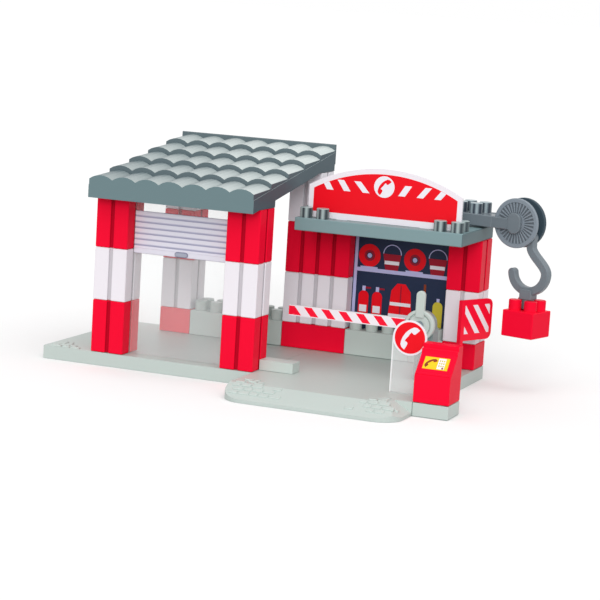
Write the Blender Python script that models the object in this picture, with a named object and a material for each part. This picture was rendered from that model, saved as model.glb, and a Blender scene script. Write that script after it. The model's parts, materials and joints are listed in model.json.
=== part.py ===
"""Toy fire station made of stud blocks.

A garage with a lean-to roof stands on the left, a rescue office with a canopy on the right.
A barrier, a call box, a round sign, a striped flag and a small crane complete it.
Lengths are in metres, +Z is up, and the front faces -Y. The origin is the centre of the
station base's underside. Places on the stud grid are counted in columns (along X) and rows
(along Y) from the outer front corner of the front left pillar.
"""
import math

import bmesh
import bpy
from mathutils import Matrix, Vector

# Stud system
STUD_PITCH = 0.016
STUD_RADIUS = 0.0058
STUD_HEIGHT = 0.0095
TALL_HEIGHT = 0.048
BRICK_HEIGHT = 0.024
PLATE_HEIGHT = 0.012
BLOCK_WALL = 0.0016
TOP_WALL = 0.0019
GROOVE_WIDTH = 0.0036
GROOVE_DEPTH = 0.0022
SEAT_GAP = 0.0003
RUN_GAP = 0.0003
OVERRUN = 0.002
EMBED = 0.0006
WELD = 0.000001
ROUND_SIDES = 32
STUD_SIDES = 12
ORIGIN_COLUMN = 15
ORIGIN_ROW = 3

# Base plates
BASE_HEIGHT = 0.012
BASE_RIB = 0.004
GARAGE_POCKET_COUNTS = (4, 3)
STATION_POCKET_COUNTS = (1, 3)
SIDE_POCKET_COUNTS = (1, 2)
GARAGE_BASE_FIRST_COLUMN = -3
STATION_BASE_FIRST_ROW = -5
STATION_BASE_SETBACK = 0.005
RAMP_ROWS = 2
RAMP_COLUMNS = 1
RAMP_EDGE_HEIGHT = 0.003
BASE_CORNER_RADIUS = 0.021
KERB_HEIGHT = 0.0095
KERB_ROW = 1
KERB_COLUMN = 10
KERB_COLUMNS = 2
KERB_ROWS = 1

# Where the walls and pillars stand
GARAGE_COLUMNS = 10
PILLAR_STUDS = 2
REAR_ROW = 9
WALL_COLUMN = 8
WALL_COLUMNS = 4
OFFICE_FIRST_COLUMN = 10
OFFICE_LAST_COLUMN = 20
LAST_ROW = REAR_ROW + PILLAR_STUDS

# Garage roof
ROOF_FRONT_OVERHANG = 0.0175
ROOF_BACK_OVERHANG = 0.0015
ROOF_LIFT = 0.0010
ROOF_FASCIA = 0.0117
ROOF_CEILING = 0.0024
ROOF_RIM = 0.0020
ROOF_RIM_TOP = 0.0187
TILE_COLUMNS = 7
TILE_ROWS = 5
TILE_RISE = 0.0038
TILE_LIP = 0.0051
TILE_TAIL = 0.0012
TILE_ARC_STEPS = 6
TILE_OVERLAP = 0.0015
TILE_SIDE_INSET = 0.0004

# Canopy plate over the office
CANOPY_ROWS = 6
CANOPY_SLOT_ROW = 6

# Sheets
SHEET_THICKNESS = 0.0016
SHEET_INSERT = 0.0018
SIGN_THICKNESS = 0.0026
SIGN_WIDTH = 0.146
SIGN_SIDE_HEIGHT = 0.0295
SIGN_HEIGHT = 0.0490
SIGN_TAB_WIDTH = 0.010
SIGN_TAB_DEPTH = 0.0015
SIGN_TAB_SPREAD = 0.080
ROUND_SIGN_SIDE_GAP = 0.0005
ROUND_SIGN_HEIGHT = 0.064
ROUND_SIGN_SLOT_DEPTH = 0.006
SHUTTER_LOW = 0.0945
SHUTTER_HIGH = 0.1310
SHUTTER_RELIEF = 0.0012
SLAT_COUNT = 7
SLAT_GROOVE = 0.0009
DOOR_BAR_HEIGHT = 0.0036
DOOR_BAR_RELIEF = 0.0022
HANDLE_WIDTH = 0.0130
HANDLE_HEIGHT = 0.0048
HANDLE_RELIEF = 0.0036
DOOR_TOP_CLEARANCE = 0.002

# Call box
CALL_BOX_COLUMN = 20
CALL_BOX_ROW = -2
CALL_BOX_HEIGHT = 0.048
CALL_BOX_SLOPE_LOW = 0.0235
CALL_BOX_LEDGE_RISE = 0.0040
CALL_BOX_LEDGE_DEPTH = 0.0030
CALL_BOX_CAVITY = 0.0180
ROUND_SIGN_COLUMN = 19
ROUND_SIGN_ROW = 0

# Barrier
BARRIER_COLUMN = 18
BARRIER_ROW = 4
BARRIER_POST_SHOULDER = 0.043
BARRIER_POST_CAVITY = 0.0125
BARRIER_PIVOT_OFFSET = 0.0038
BARRIER_PIVOT_HEIGHT = 0.0500
BARRIER_PIN_RADIUS = 0.0025
BARRIER_PIN_HEAD_RADIUS = 0.0042
BARRIER_PIN_HEAD = 0.0012
BARRIER_PIN_BITE = 0.0085
BOSS_RADIUS = 0.0120
BOSS_DEPTH = 0.0110
HUB_RADIUS = 0.0137
HUB_THICKNESS = 0.0040
LEVER_WIDTH = 0.0078
LEVER_REACH = 0.0307
LEVER_THICKNESS = 0.0055
BOOM_REACH = 0.1240
BOOM_HEIGHT = 0.0096
BOOM_THICKNESS = 0.0026
BOARD_THICKNESS = 0.0012

# Striped flag on its post
FLAG_X = 0.0772
FLAG_Y = 0.0550
FLAG_TURN = math.radians(65)
FLAG_POST_SIZE = 0.0040
FLAG_PIN_RADIUS = 0.0018
FLAG_PIN_DEPTH = 0.0080
FLAG_LOW = 0.0330
FLAG_HIGH = 0.0700
FLAG_REACH = 0.0400
FLAG_THICKNESS = 0.0024
FLAG_CORNER = 0.0060

# Crane
CRANE_TURN = math.radians(-15)
CRANE_COLUMN = 19
CRANE_ROW = 10
FOOT_RADIUS = 0.0145
FOOT_THICKNESS = 0.0014
PIVOT_RADIUS = 0.0040
PIVOT_DEPTH = 0.0060
ARM_HEIGHT = 0.0105
ARM_BORE_DEPTH = 0.0086
STRAP_THICKNESS = 0.0035
ARM_BAR_DEPTH = 0.0180
HUB_BOSS_WIDTH = 0.0134
HUB_BOSS_HEIGHT = 0.0188
WHEEL_REACH = 0.0527
WHEEL_RISE = 0.0012
WHEEL_RADIUS = 0.0225
FRONT_DISC = 0.0028
HOOK_SLOT = 0.0098
REAR_DISC = 0.0044
WHEEL_CORE_RADIUS = 0.0050
WHEEL_RIM_WIDTH = 0.0042
WHEEL_RECESS = 0.0009
WHEEL_HUB_RADIUS = 0.0092
WHEEL_SIDES = 40
RIB_COUNT = 32
RIB_WIDTH = 0.0008
AXLE_BITE = 0.0022
AXLE_RADIUS = 0.0024
AXLE_HEAD_RADIUS = 0.0042
AXLE_HEAD = 0.0012
HOOK_PIN_RADIUS = 0.0018
HOOK_PIN_ORBIT = 0.0185
HOOK_PIN_ANGLE = math.radians(-40)
HOOK_HALF_WIDTH = 0.0039
HOOK_DEPTH = 0.0076
HOOK_EYE_RADIUS = 0.0042
HOOK_EYE_THICKNESS = 0.0070
HOOK_NECK_DROP = 0.0080
HOOK_BOWL_RADIUS = 0.0170
HOOK_BOWL_DROP = 0.0316
HOOK_TIP_ANGLE = math.radians(-175)
HOOK_TIP_STEPS = 8
HOOK_BEND_STEPS = 14
HOOK_NECK_STEPS = 8
PLUG_SIZE = 0.0120
PLUG_DROP = 0.00935
PEG_RADIUS = 0.0051
PEG_LENGTH = 0.0088

# Finishes: colour, roughness
RED = ("red_plastic", (0.80, 0.012, 0.035, 1.0), 0.30)
WHITE = ("white_plastic", (0.80, 0.80, 0.82, 1.0), 0.32)
PALE_GREY = ("pale_grey_plastic", (0.56, 0.62, 0.60, 1.0), 0.38)
MID_GREY = ("mid_grey_plastic", (0.17, 0.22, 0.26, 1.0), 0.36)
CLEAR = ("clear_sheet", (0.86, 0.90, 0.90, 0.35), 0.10)
NAVY = ("printed_sheet", (0.03, 0.04, 0.09, 1.0), 0.30)
STRIPED = ("striped_board", (0.75, 0.02, 0.04, 1.0), 0.32)


def grid_x(column):
    return (column - ORIGIN_COLUMN) * STUD_PITCH


def grid_y(row):
    return (row - ORIGIN_ROW) * STUD_PITCH


def clear_scene():
    for obj in list(bpy.data.objects):
        bpy.data.objects.remove(obj, do_unlink=True)


def parts_collection():
    name = "toy_fire_station"
    collection = bpy.data.collections.get(name)
    if collection is None:
        collection = bpy.data.collections.new(name)
        bpy.context.scene.collection.children.link(collection)
    return collection


def plastic(node, finish):
    label, colour, roughness = finish
    material = bpy.data.materials.new(f"{node}_{label}")
    material.use_nodes = True
    shader = material.node_tree.nodes["Principled BSDF"]
    shader.inputs["Base Color"].default_value = colour
    shader.inputs["Alpha"].default_value = colour[3]
    shader.inputs["Roughness"].default_value = roughness
    shader.inputs["Metallic"].default_value = 0.0
    material.diffuse_color = colour
    return material


def publish(obj, node, finish, place=(0, 0, 0), parent=None):
    """Give a finished shape its node name, its material and its place."""
    obj.name = node
    obj.data.name = node
    obj.data.materials.clear()
    obj.data.materials.append(plastic(node, finish))
    for collection in list(obj.users_collection):
        collection.objects.unlink(obj)
    parts_collection().objects.link(obj)
    obj.location = place
    obj.parent = parent
    return obj


def soften(obj):
    """Round pieces are shaded smooth, with their sharp edges kept."""
    obj.data.shade_smooth()
    obj.data.set_sharp_from_angle(angle=math.radians(35))


def raw_object(shape):
    mesh = bpy.data.meshes.new("shape")
    bmesh.ops.recalc_face_normals(shape, faces=shape.faces)
    shape.to_mesh(mesh)
    shape.free()
    obj = bpy.data.objects.new("shape", mesh)
    bpy.context.scene.collection.objects.link(obj)
    return obj


def boxes(corners):
    """One object that holds a box for each pair of low and high corners."""
    shape = bmesh.new()
    for low, high in corners:
        low, high = Vector(low), Vector(high)
        made = bmesh.ops.create_cube(shape, size=1.0)
        bmesh.ops.scale(shape, vec=high - low, verts=made["verts"])
        bmesh.ops.translate(shape, vec=(low + high) / 2, verts=made["verts"])
    return raw_object(shape)


TURN_FROM_Z = {
    "z": Matrix.Identity(4),
    "y": Matrix.Rotation(math.radians(90), 4, "X"),
    "x": Matrix.Rotation(math.radians(90), 4, "Y"),
}


def rods(rows, axis="z", sides=ROUND_SIDES):
    """One object with a cylinder for each (centre, radius, length)."""
    shape = bmesh.new()
    for centre, radius, length in rows:
        place = Matrix.Translation(centre) @ TURN_FROM_Z[axis]
        bmesh.ops.create_cone(shape, cap_ends=True, segments=sides, radius1=radius, radius2=radius,
                              depth=length, matrix=place)
    return raw_object(shape)


OUTLINE_PLANES = {
    "z": Matrix.Identity(4),
    "y": Matrix(((1, 0, 0, 0), (0, 0, 1, 0), (0, 1, 0, 0), (0, 0, 0, 1))),
    "x": Matrix(((0, 0, 1, 0), (1, 0, 0, 0), (0, 1, 0, 0), (0, 0, 0, 1))),
}


def prism(outline, low, high, along="z"):
    """A flat outline given thickness. Its two coordinates are X Y, X Z or Y Z, as along leaves."""
    curve = bpy.data.curves.new("outline", "CURVE")
    curve.dimensions = "2D"
    curve.fill_mode = "BOTH"
    curve.extrude = (high - low) / 2
    spline = curve.splines.new("POLY")
    spline.points.add(len(outline) - 1)
    for point, (a, b) in zip(spline.points, outline):
        point.co = (a, b, 0, 1)
    spline.use_cyclic_u = True
    return meshed(curve, OUTLINE_PLANES[along] @ Matrix.Translation((0, 0, (low + high) / 2)))


def meshed(curve, place):
    """The closed mesh of a curve object, with its caps welded, moved by a matrix."""
    holder = bpy.data.objects.new("outline", curve)
    bpy.context.scene.collection.objects.link(holder)
    bpy.context.view_layer.update()
    mesh = bpy.data.meshes.new_from_object(holder.evaluated_get(bpy.context.evaluated_depsgraph_get()))
    bpy.data.objects.remove(holder, do_unlink=True)
    shape = bmesh.new()
    shape.from_mesh(mesh)
    bmesh.ops.remove_doubles(shape, verts=shape.verts, dist=WELD)
    bmesh.ops.transform(shape, matrix=place, verts=shape.verts)
    return raw_object(shape)


def combine(target, tool, operation):
    """Apply one exact Boolean and remove the tool."""
    modifier = target.modifiers.new("combine", "BOOLEAN")
    modifier.operation = operation
    modifier.solver = "EXACT"
    modifier.object = tool
    bpy.context.view_layer.update()
    depsgraph = bpy.context.evaluated_depsgraph_get()
    mesh = bpy.data.meshes.new_from_object(target.evaluated_get(depsgraph))
    target.modifiers.clear()
    target.data = mesh
    bpy.data.objects.remove(tool, do_unlink=True)
    return target


def cut(target, tool):
    return combine(target, tool, "DIFFERENCE")


def join(target, tool):
    return combine(target, tool, "UNION")


def keep_inside(target, tool):
    return combine(target, tool, "INTERSECT")


def rectangle(low_a, high_a, low_b, high_b):
    return [(low_a, low_b), (high_a, low_b), (high_a, high_b), (low_a, high_b)]


def arc(centre, radius, start, end, steps):
    """Points on a circular arc, both ends included. The angles are in radians."""
    turn = (end - start) / steps
    return [(centre[0] + radius * math.cos(start + turn * k),
             centre[1] + radius * math.sin(start + turn * k)) for k in range(steps + 1)]


# Stud blocks

def notch_boxes(columns, rows, half_x, half_y, half_notch, low, high):
    """A cutter for the upright notches, one between each two studs on every side."""
    made = []
    for k in range(1, columns):
        middle = (k - columns / 2) * STUD_PITCH
        for side in (-1, 1):
            ends = sorted((side * (half_y - GROOVE_DEPTH), side * (half_y + OVERRUN)))
            made.append(((middle - half_notch, ends[0], low), (middle + half_notch, ends[1], high)))
    for k in range(1, rows):
        middle = (k - rows / 2) * STUD_PITCH
        for side in (-1, 1):
            ends = sorted((side * (half_x - GROOVE_DEPTH), side * (half_x + OVERRUN)))
            made.append(((ends[0], middle - half_notch, low), (ends[1], middle + half_notch, high)))
    return boxes(made)


def block_solid(columns, rows, inset, low, high, fluted):
    """The full body of a block, or its cavity where inset is the wall."""
    half_x = (columns * STUD_PITCH - SEAT_GAP) / 2 - inset
    half_y = (rows * STUD_PITCH - SEAT_GAP) / 2 - inset
    solid = boxes([((-half_x, -half_y, low), (half_x, half_y, high))])
    if fluted:
        notch = GROOVE_WIDTH / 2 + inset
        cut(solid, notch_boxes(columns, rows, half_x, half_y, notch, low - OVERRUN, high + OVERRUN))
    return solid


def stud_rows(columns, rows, top):
    """Stud cylinders on top of a block, centred on it."""
    made = []
    for i in range(columns):
        for j in range(rows):
            x = (i + 1 / 2 - columns / 2) * STUD_PITCH
            y = (j + 1 / 2 - rows / 2) * STUD_PITCH
            made.append(stud((x, y), top))
    return made


def stud(place, top):
    """One stud standing on a face at height top, with its foot let into it."""
    length = STUD_HEIGHT + EMBED
    return (Vector((place[0], place[1], top + STUD_HEIGHT - length / 2)), STUD_RADIUS, length)


def block_shape(columns, rows, height, fluted):
    """A hollow stud block, open below, whose body ends one seat gap under its full height."""
    top = height - SEAT_GAP
    body = block_solid(columns, rows, 0, 0, top, fluted)
    cut(body, block_solid(columns, rows, BLOCK_WALL, -OVERRUN, top - TOP_WALL, fluted))
    join(body, rods(stud_rows(columns, rows, top), sides=STUD_SIDES))
    return body


BLOCK_MESHES = {}


def block(node, finish, column, row, columns, rows, level, height, fluted):
    """Place a block on the grid. Blocks of one shape share their design, each with its own mesh."""
    key = (columns, rows, height, fluted)
    if key not in BLOCK_MESHES:
        made = block_shape(*key)
        BLOCK_MESHES[key] = made.data.copy()
        bpy.data.objects.remove(made, do_unlink=True)
    obj = bpy.data.objects.new(node, BLOCK_MESHES[key].copy())
    place = (grid_x(column + columns / 2), grid_y(row + rows / 2), level)
    publish(obj, node, finish, place)
    soften(obj)
    return obj


def stack(column, row, columns, rows, layers, level=BASE_HEIGHT):
    """Blocks one upon another, from the given level up. The first one clears the base by the seat gap."""
    for node, height, fluted, finish in layers:
        block(node, finish, column, row, columns, rows, level + SEAT_GAP, height, fluted)
        level += height


def pillars_and_walls():
    two = PILLAR_STUDS
    for side, column in (("left", 0), ("right", GARAGE_COLUMNS - two)):
        stack(column, 0, two, two, [
            (f"front_{side}_pillar_bottom", TALL_HEIGHT, True, RED),
            (f"front_{side}_pillar_middle", TALL_HEIGHT, True, WHITE),
            (f"front_{side}_pillar_top", TALL_HEIGHT, True, RED)])
    stack(0, REAR_ROW, two, two, [
        ("rear_left_pillar_brick", BRICK_HEIGHT, False, RED),
        ("rear_left_pillar_lower", TALL_HEIGHT, True, WHITE),
        ("rear_left_pillar_middle", TALL_HEIGHT, True, RED),
        ("rear_left_pillar_top", TALL_HEIGHT, True, WHITE)])
    stack(WALL_COLUMN, REAR_ROW, WALL_COLUMNS, two, [
        ("wall_base_brick", BRICK_HEIGHT, False, RED),
        ("wall_white_block", TALL_HEIGHT, True, WHITE),
        ("wall_red_block", TALL_HEIGHT, True, RED)])
    stack(WALL_COLUMN, REAR_ROW, two, two, [("roof_support_block", TALL_HEIGHT, True, WHITE)],
          level=office_top())
    stack(OFFICE_LAST_COLUMN - two, REAR_ROW, two, two, [
        ("right_pillar_brick", BRICK_HEIGHT, False, RED),
        ("right_pillar_white", TALL_HEIGHT, True, WHITE),
        ("right_pillar_red", TALL_HEIGHT, True, RED)])


def office_top():
    return BASE_HEIGHT + BRICK_HEIGHT + 2 * TALL_HEIGHT


def low_walls():
    """Smooth grey bricks: the garage's back wall and the sill under the office window."""
    two = PILLAR_STUDS
    long = WALL_COLUMNS
    stack(two, REAR_ROW, long, two, [("back_wall_brick_long", BRICK_HEIGHT, False, PALE_GREY)])
    stack(two + long, REAR_ROW, two, two, [("back_wall_brick_short", BRICK_HEIGHT, False, PALE_GREY)])
    sill = WALL_COLUMN + WALL_COLUMNS
    stack(sill, REAR_ROW, long, two, [("sill_brick_long", BRICK_HEIGHT, False, PALE_GREY)])
    stack(sill + long, REAR_ROW, two, two, [("sill_brick_short", BRICK_HEIGHT, False, PALE_GREY)])


# Base plates

def waffle(columns, rows, counts, floor, ceiling, rib):
    """Pockets under a plate, evenly spread over a range of columns and rows, with ribs between."""
    left, right = (grid_x(column) for column in columns)
    front, back = (grid_y(row) for row in rows)
    wide = (right - left) / counts[0]
    deep = (back - front) / counts[1]
    pockets = []
    for i in range(counts[0]):
        for j in range(counts[1]):
            low = (left + wide * i + rib / 2, front + deep * j + rib / 2, floor)
            high = (left + wide * (i + 1) - rib / 2, front + deep * (j + 1) - rib / 2, ceiling)
            pockets.append((low, high))
    return boxes(pockets)


def studs_at(cells, top, sides=STUD_SIDES):
    """Studs at the middles of the named grid cells."""
    rows = [stud((grid_x(column + 1 / 2), grid_y(row + 1 / 2)), top) for column, row in cells]
    return rods(rows, sides=sides)


def corner_cells(column, row, columns, rows):
    return [(column + i, row + j) for i in (0, columns - 1) for j in (0, rows - 1)]


def garage_base():
    two = PILLAR_STUDS
    low = (grid_x(GARAGE_BASE_FIRST_COLUMN), grid_y(0), 0)
    high = (grid_x(GARAGE_COLUMNS) - SEAT_GAP / 2, grid_y(LAST_ROW), BASE_HEIGHT)
    plate = boxes([(low, high)])
    cut(plate, waffle((GARAGE_BASE_FIRST_COLUMN, GARAGE_COLUMNS), (0, LAST_ROW), GARAGE_POCKET_COUNTS,
                      -OVERRUN, BASE_HEIGHT - TOP_WALL, BASE_RIB))
    cells = corner_cells(0, 0, two, two) + corner_cells(0, REAR_ROW, two, two)
    cells += corner_cells(GARAGE_COLUMNS - two, 0, two, two)
    cells += corner_cells(two, REAR_ROW, WALL_COLUMNS, two)
    cells += corner_cells(two + WALL_COLUMNS, REAR_ROW, two, two)
    cells += corner_cells(WALL_COLUMN, REAR_ROW, two, two)
    join(plate, studs_at(cells, BASE_HEIGHT))
    return publish(plate, "garage_base", PALE_GREY)


def rounded_plan(left, right, front, back, radius):
    """A plan outline whose two front corners are round."""
    steps = ROUND_SIDES // 4
    quarter = math.radians(90)
    half = math.radians(180)
    points = arc((left + radius, front + radius), radius, half, half + quarter, steps)
    points += arc((right - radius, front + radius), radius, half + quarter, half + 2 * quarter, steps)
    return points + [(right, back), (left, back)]


def station_base():
    two = PILLAR_STUDS
    left = grid_x(OFFICE_FIRST_COLUMN) + SEAT_GAP / 2
    right = grid_x(OFFICE_LAST_COLUMN)
    front = grid_y(STATION_BASE_FIRST_ROW) + STATION_BASE_SETBACK
    back = grid_y(LAST_ROW)
    ramp_end = grid_y(STATION_BASE_FIRST_ROW + RAMP_ROWS)
    profile = [(front, 0), (back, 0), (back, BASE_HEIGHT), (ramp_end, BASE_HEIGHT), (front, RAMP_EDGE_HEIGHT)]
    plate = prism(profile, left, right, along="x")
    side_ramp = [(right - RAMP_COLUMNS * STUD_PITCH, BASE_HEIGHT), (right, RAMP_EDGE_HEIGHT),
                 (right + OVERRUN, RAMP_EDGE_HEIGHT), (right + OVERRUN, BASE_HEIGHT + OVERRUN),
                 (right - RAMP_COLUMNS * STUD_PITCH, BASE_HEIGHT + OVERRUN)]
    cut(plate, prism(side_ramp, front - OVERRUN, grid_y(-two) - SEAT_GAP, along="y"))
    plan = rounded_plan(left, right, front, back, BASE_CORNER_RADIUS)
    keep_inside(plate, prism(plan, -OVERRUN, BASE_HEIGHT + OVERRUN))
    first_pocket_row = STATION_BASE_FIRST_ROW + RAMP_ROWS
    solid_column = OFFICE_LAST_COLUMN - 1
    cut(plate, waffle((OFFICE_FIRST_COLUMN, ORIGIN_COLUMN), (first_pocket_row, LAST_ROW), STATION_POCKET_COUNTS,
                      -OVERRUN, BASE_HEIGHT - TOP_WALL, BASE_RIB))
    cut(plate, waffle((ORIGIN_COLUMN, solid_column), (ROUND_SIGN_ROW + 1, LAST_ROW), SIDE_POCKET_COUNTS,
                      -OVERRUN, BASE_HEIGHT - TOP_WALL, BASE_RIB))
    cells = corner_cells(WALL_COLUMN + two, REAR_ROW, two, two)
    cells += corner_cells(WALL_COLUMN + WALL_COLUMNS, REAR_ROW, WALL_COLUMNS, two)
    cells += corner_cells(WALL_COLUMN + 2 * WALL_COLUMNS, REAR_ROW, two, two)
    cells += corner_cells(OFFICE_LAST_COLUMN - two, REAR_ROW, two, two)
    cells.append((BARRIER_COLUMN, BARRIER_ROW))
    join(plate, studs_at(cells, BASE_HEIGHT))
    cut(plate, sign_slot())
    cut(plate, flag_bore())
    return publish(plate, "station_base", PALE_GREY)


def round_sign_radius():
    """The round sign is two studs wide, less a gap at each side."""
    return STUD_PITCH - ROUND_SIGN_SIDE_GAP


def sign_slot():
    half_x = round_sign_radius() + RUN_GAP
    half_y = SHEET_THICKNESS / 2 + RUN_GAP
    middle = Vector((grid_x(ROUND_SIGN_COLUMN), grid_y(ROUND_SIGN_ROW), BASE_HEIGHT))
    low = middle - Vector((half_x, half_y, ROUND_SIGN_SLOT_DEPTH))
    high = middle + Vector((half_x, half_y, OVERRUN))
    return boxes([(low, high)])


def flag_bore():
    length = FLAG_PIN_DEPTH + RUN_GAP + OVERRUN
    centre = Vector((FLAG_X, FLAG_Y, BASE_HEIGHT + OVERRUN - length / 2))
    return rods([(centre, FLAG_PIN_RADIUS + RUN_GAP, length)], sides=STUD_SIDES)


def door_kerb():
    low = (grid_x(KERB_COLUMN) + SEAT_GAP / 2, grid_y(KERB_ROW), BASE_HEIGHT + SEAT_GAP)
    high = (grid_x(KERB_COLUMN + KERB_COLUMNS), grid_y(KERB_ROW + KERB_ROWS), BASE_HEIGHT + KERB_HEIGHT)
    kerb = boxes([(low, high)])
    return publish(kerb, "door_kerb", PALE_GREY)


# Garage roof

def front_seat():
    return BASE_HEIGHT + 3 * TALL_HEIGHT


def rear_seat():
    return BASE_HEIGHT + BRICK_HEIGHT + 3 * TALL_HEIGHT


def roof_slope():
    return (rear_seat() - front_seat()) / (grid_y(REAR_ROW) - grid_y(0))


def roof_line(y, above=0):
    """Height of the roof's lower edge at y, plus an offset."""
    return front_seat() + ROOF_LIFT + roof_slope() * (y - grid_y(0)) + above


def roof_band(front, back, low, high):
    """A side outline that follows the slope, from one offset above the lower edge to another."""
    return [(front, roof_line(front, low)), (back, roof_line(back, low)),
            (back, roof_line(back, high)), (front, roof_line(front, high))]


def roof_socket(column, row, seat):
    """A square socket that stands on a pillar and goes round its studs."""
    two = PILLAR_STUDS
    left = grid_x(column) + SEAT_GAP / 2
    right = grid_x(column + two) - SEAT_GAP / 2
    front = grid_y(row) + SEAT_GAP / 2
    back = grid_y(row + two) - SEAT_GAP / 2
    ceiling = ROOF_FASCIA - ROOF_CEILING
    inner = [(front + BLOCK_WALL, seat - OVERRUN), (back - BLOCK_WALL, seat - OVERRUN),
             (back - BLOCK_WALL, roof_line(back - BLOCK_WALL, ceiling - EMBED)),
             (front + BLOCK_WALL, roof_line(front + BLOCK_WALL, ceiling - EMBED))]
    outer = [(front, seat + SEAT_GAP), (back, seat + SEAT_GAP),
             (back, roof_line(back, ceiling + EMBED)), (front, roof_line(front, ceiling + EMBED))]
    tube = prism(outer, left, right, along="x")
    return cut(tube, prism(inner, left + BLOCK_WALL, right - BLOCK_WALL, along="x"))


def tile_arches(left, right, low):
    """A row of arches from left to right over a flat foot."""
    pitch = (right - left) / TILE_COLUMNS
    half = pitch / 2
    radius = (half * half + TILE_RISE * TILE_RISE) / (2 * TILE_RISE)
    reach = math.asin(half / radius)
    quarter = math.radians(90)
    points = []
    for k in range(TILE_COLUMNS):
        centre = (right - half - pitch * k, TILE_RISE - radius)
        points += arc(centre, radius, quarter - reach, quarter + reach, TILE_ARC_STEPS)[:-1]
    return points + [(left, 0), (left, low), (right, low)]


def tile_row(index, left, right, front, back):
    """One course of tiles. It is tilted so that its front lip steps over the course below."""
    length = (back - front) / TILE_ROWS
    start = front + length * index
    slope = roof_slope() - (TILE_LIP - TILE_TAIL) / length
    reach = length if index == TILE_ROWS - 1 else length + TILE_OVERLAP
    arches = tile_arches(left + TILE_SIDE_INSET, right - TILE_SIDE_INSET, -TILE_LIP - EMBED)
    course = prism(arches, 0, reach, along="y")
    shear = Matrix.Identity(4)
    shear[2][1] = slope
    lift = Matrix.Translation((0, start, roof_line(start, ROOF_FASCIA + TILE_LIP)))
    course.data.transform(lift @ shear)
    return course


def back_rim(left, right, back):
    """A straight upright rim behind the last course of tiles."""
    return prism(roof_band(back - ROOF_RIM, back, ROOF_FASCIA - EMBED, ROOF_RIM_TOP), left, right, along="x")


def garage_roof():
    left = grid_x(0) - SEAT_GAP
    right = grid_x(GARAGE_COLUMNS) - SEAT_GAP / 2
    front = grid_y(0) - ROOF_FRONT_OVERHANG
    back = grid_y(LAST_ROW) + ROOF_BACK_OVERHANG
    shell = prism(roof_band(front, back, 0, ROOF_FASCIA), left, right, along="x")
    hollow = roof_band(front + BLOCK_WALL, back - BLOCK_WALL, -OVERRUN, ROOF_FASCIA - ROOF_CEILING)
    cut(shell, prism(hollow, left + BLOCK_WALL, right - BLOCK_WALL, along="x"))
    last = GARAGE_COLUMNS - PILLAR_STUDS
    for column, row, seat in ((0, 0, front_seat()), (last, 0, front_seat()),
                              (0, REAR_ROW, rear_seat()), (last, REAR_ROW, rear_seat())):
        join(shell, roof_socket(column, row, seat))
    for index in range(TILE_ROWS):
        join(shell, tile_row(index, left, right, front, back))
    join(shell, back_rim(left, right, back))
    soften(shell)
    return publish(shell, "garage_roof", MID_GREY)


# Canopy plate, sign and sheets

def canopy_top():
    return office_top() + PLATE_HEIGHT


def sign_tabs(clearance):
    """The sign's two tabs, or their slots in the canopy where clearance is given."""
    half_y = SIGN_THICKNESS / 2 + clearance
    middle_x = (grid_x(OFFICE_FIRST_COLUMN) + grid_x(OFFICE_LAST_COLUMN)) / 2
    y = grid_y(CANOPY_SLOT_ROW)
    top = canopy_top()
    tabs = []
    for side in (-1, 1):
        x = middle_x + side * SIGN_TAB_SPREAD / 2
        half_x = SIGN_TAB_WIDTH / 2 + clearance
        depth = SIGN_TAB_DEPTH if clearance == 0 else PLATE_HEIGHT - SEAT_GAP - OVERRUN
        high = top + SEAT_GAP + EMBED if clearance == 0 else top + OVERRUN
        tabs.append(((x - half_x, y - half_y, top - depth), (x + half_x, y + half_y, high)))
    return boxes(tabs)


def roof_plate():
    two = PILLAR_STUDS
    first_row = LAST_ROW - CANOPY_ROWS
    low_z = office_top() + SEAT_GAP
    low = (grid_x(OFFICE_FIRST_COLUMN) + SEAT_GAP / 2, grid_y(first_row), low_z)
    high = (grid_x(OFFICE_LAST_COLUMN) - SEAT_GAP / 2, grid_y(LAST_ROW) - SEAT_GAP / 2, canopy_top())
    plate = boxes([(low, high)])
    counts = ((OFFICE_LAST_COLUMN - OFFICE_FIRST_COLUMN) // two, CANOPY_ROWS // two)
    cut(plate, waffle((OFFICE_FIRST_COLUMN, OFFICE_LAST_COLUMN), (first_row, LAST_ROW), counts,
                      low_z - OVERRUN, canopy_top() - TOP_WALL, 2 * BLOCK_WALL))
    cells = []
    for column in (OFFICE_FIRST_COLUMN, OFFICE_LAST_COLUMN - two):
        cells += corner_cells(column, first_row, two, two)
    join(plate, studs_at(cells, canopy_top()))
    cut(plate, sign_tabs(RUN_GAP))
    hole = rods([(Vector((crane_x(), crane_y(), canopy_top())), PIVOT_RADIUS + RUN_GAP, PLATE_HEIGHT)],
                sides=STUD_SIDES)
    cut(plate, hole)
    return publish(plate, "roof_plate", MID_GREY)


def arched_sign():
    """A panel with straight sides and an arched top."""
    middle = (grid_x(OFFICE_FIRST_COLUMN) + grid_x(OFFICE_LAST_COLUMN)) / 2
    half = SIGN_WIDTH / 2
    low = canopy_top() + SEAT_GAP
    rise = SIGN_HEIGHT - SIGN_SIDE_HEIGHT
    radius = (half * half + rise * rise) / (2 * rise)
    reach = math.asin(half / radius)
    quarter = math.radians(90)
    centre = (middle, low + SIGN_HEIGHT - radius)
    outline = arc(centre, radius, quarter - reach, quarter + reach, ROUND_SIDES // 2)
    outline += [(middle - half, low), (middle + half, low)]
    y = grid_y(CANOPY_SLOT_ROW)
    panel = prism(outline, y - SIGN_THICKNESS / 2, y + SIGN_THICKNESS / 2, along="y")
    join(panel, sign_tabs(0))
    return publish(panel, "arched_sign", WHITE)


def sheet_between(first_column, last_column, row, low, high):
    """A flat sheet whose two upright edges go into the grooves of the blocks beside it."""
    y = grid_y(row)
    left = grid_x(first_column) - SHEET_INSERT
    right = grid_x(last_column) + SHEET_INSERT
    half = SHEET_THICKNESS / 2
    return boxes([((left, y - half, low), (right, y + half, high))])


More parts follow.
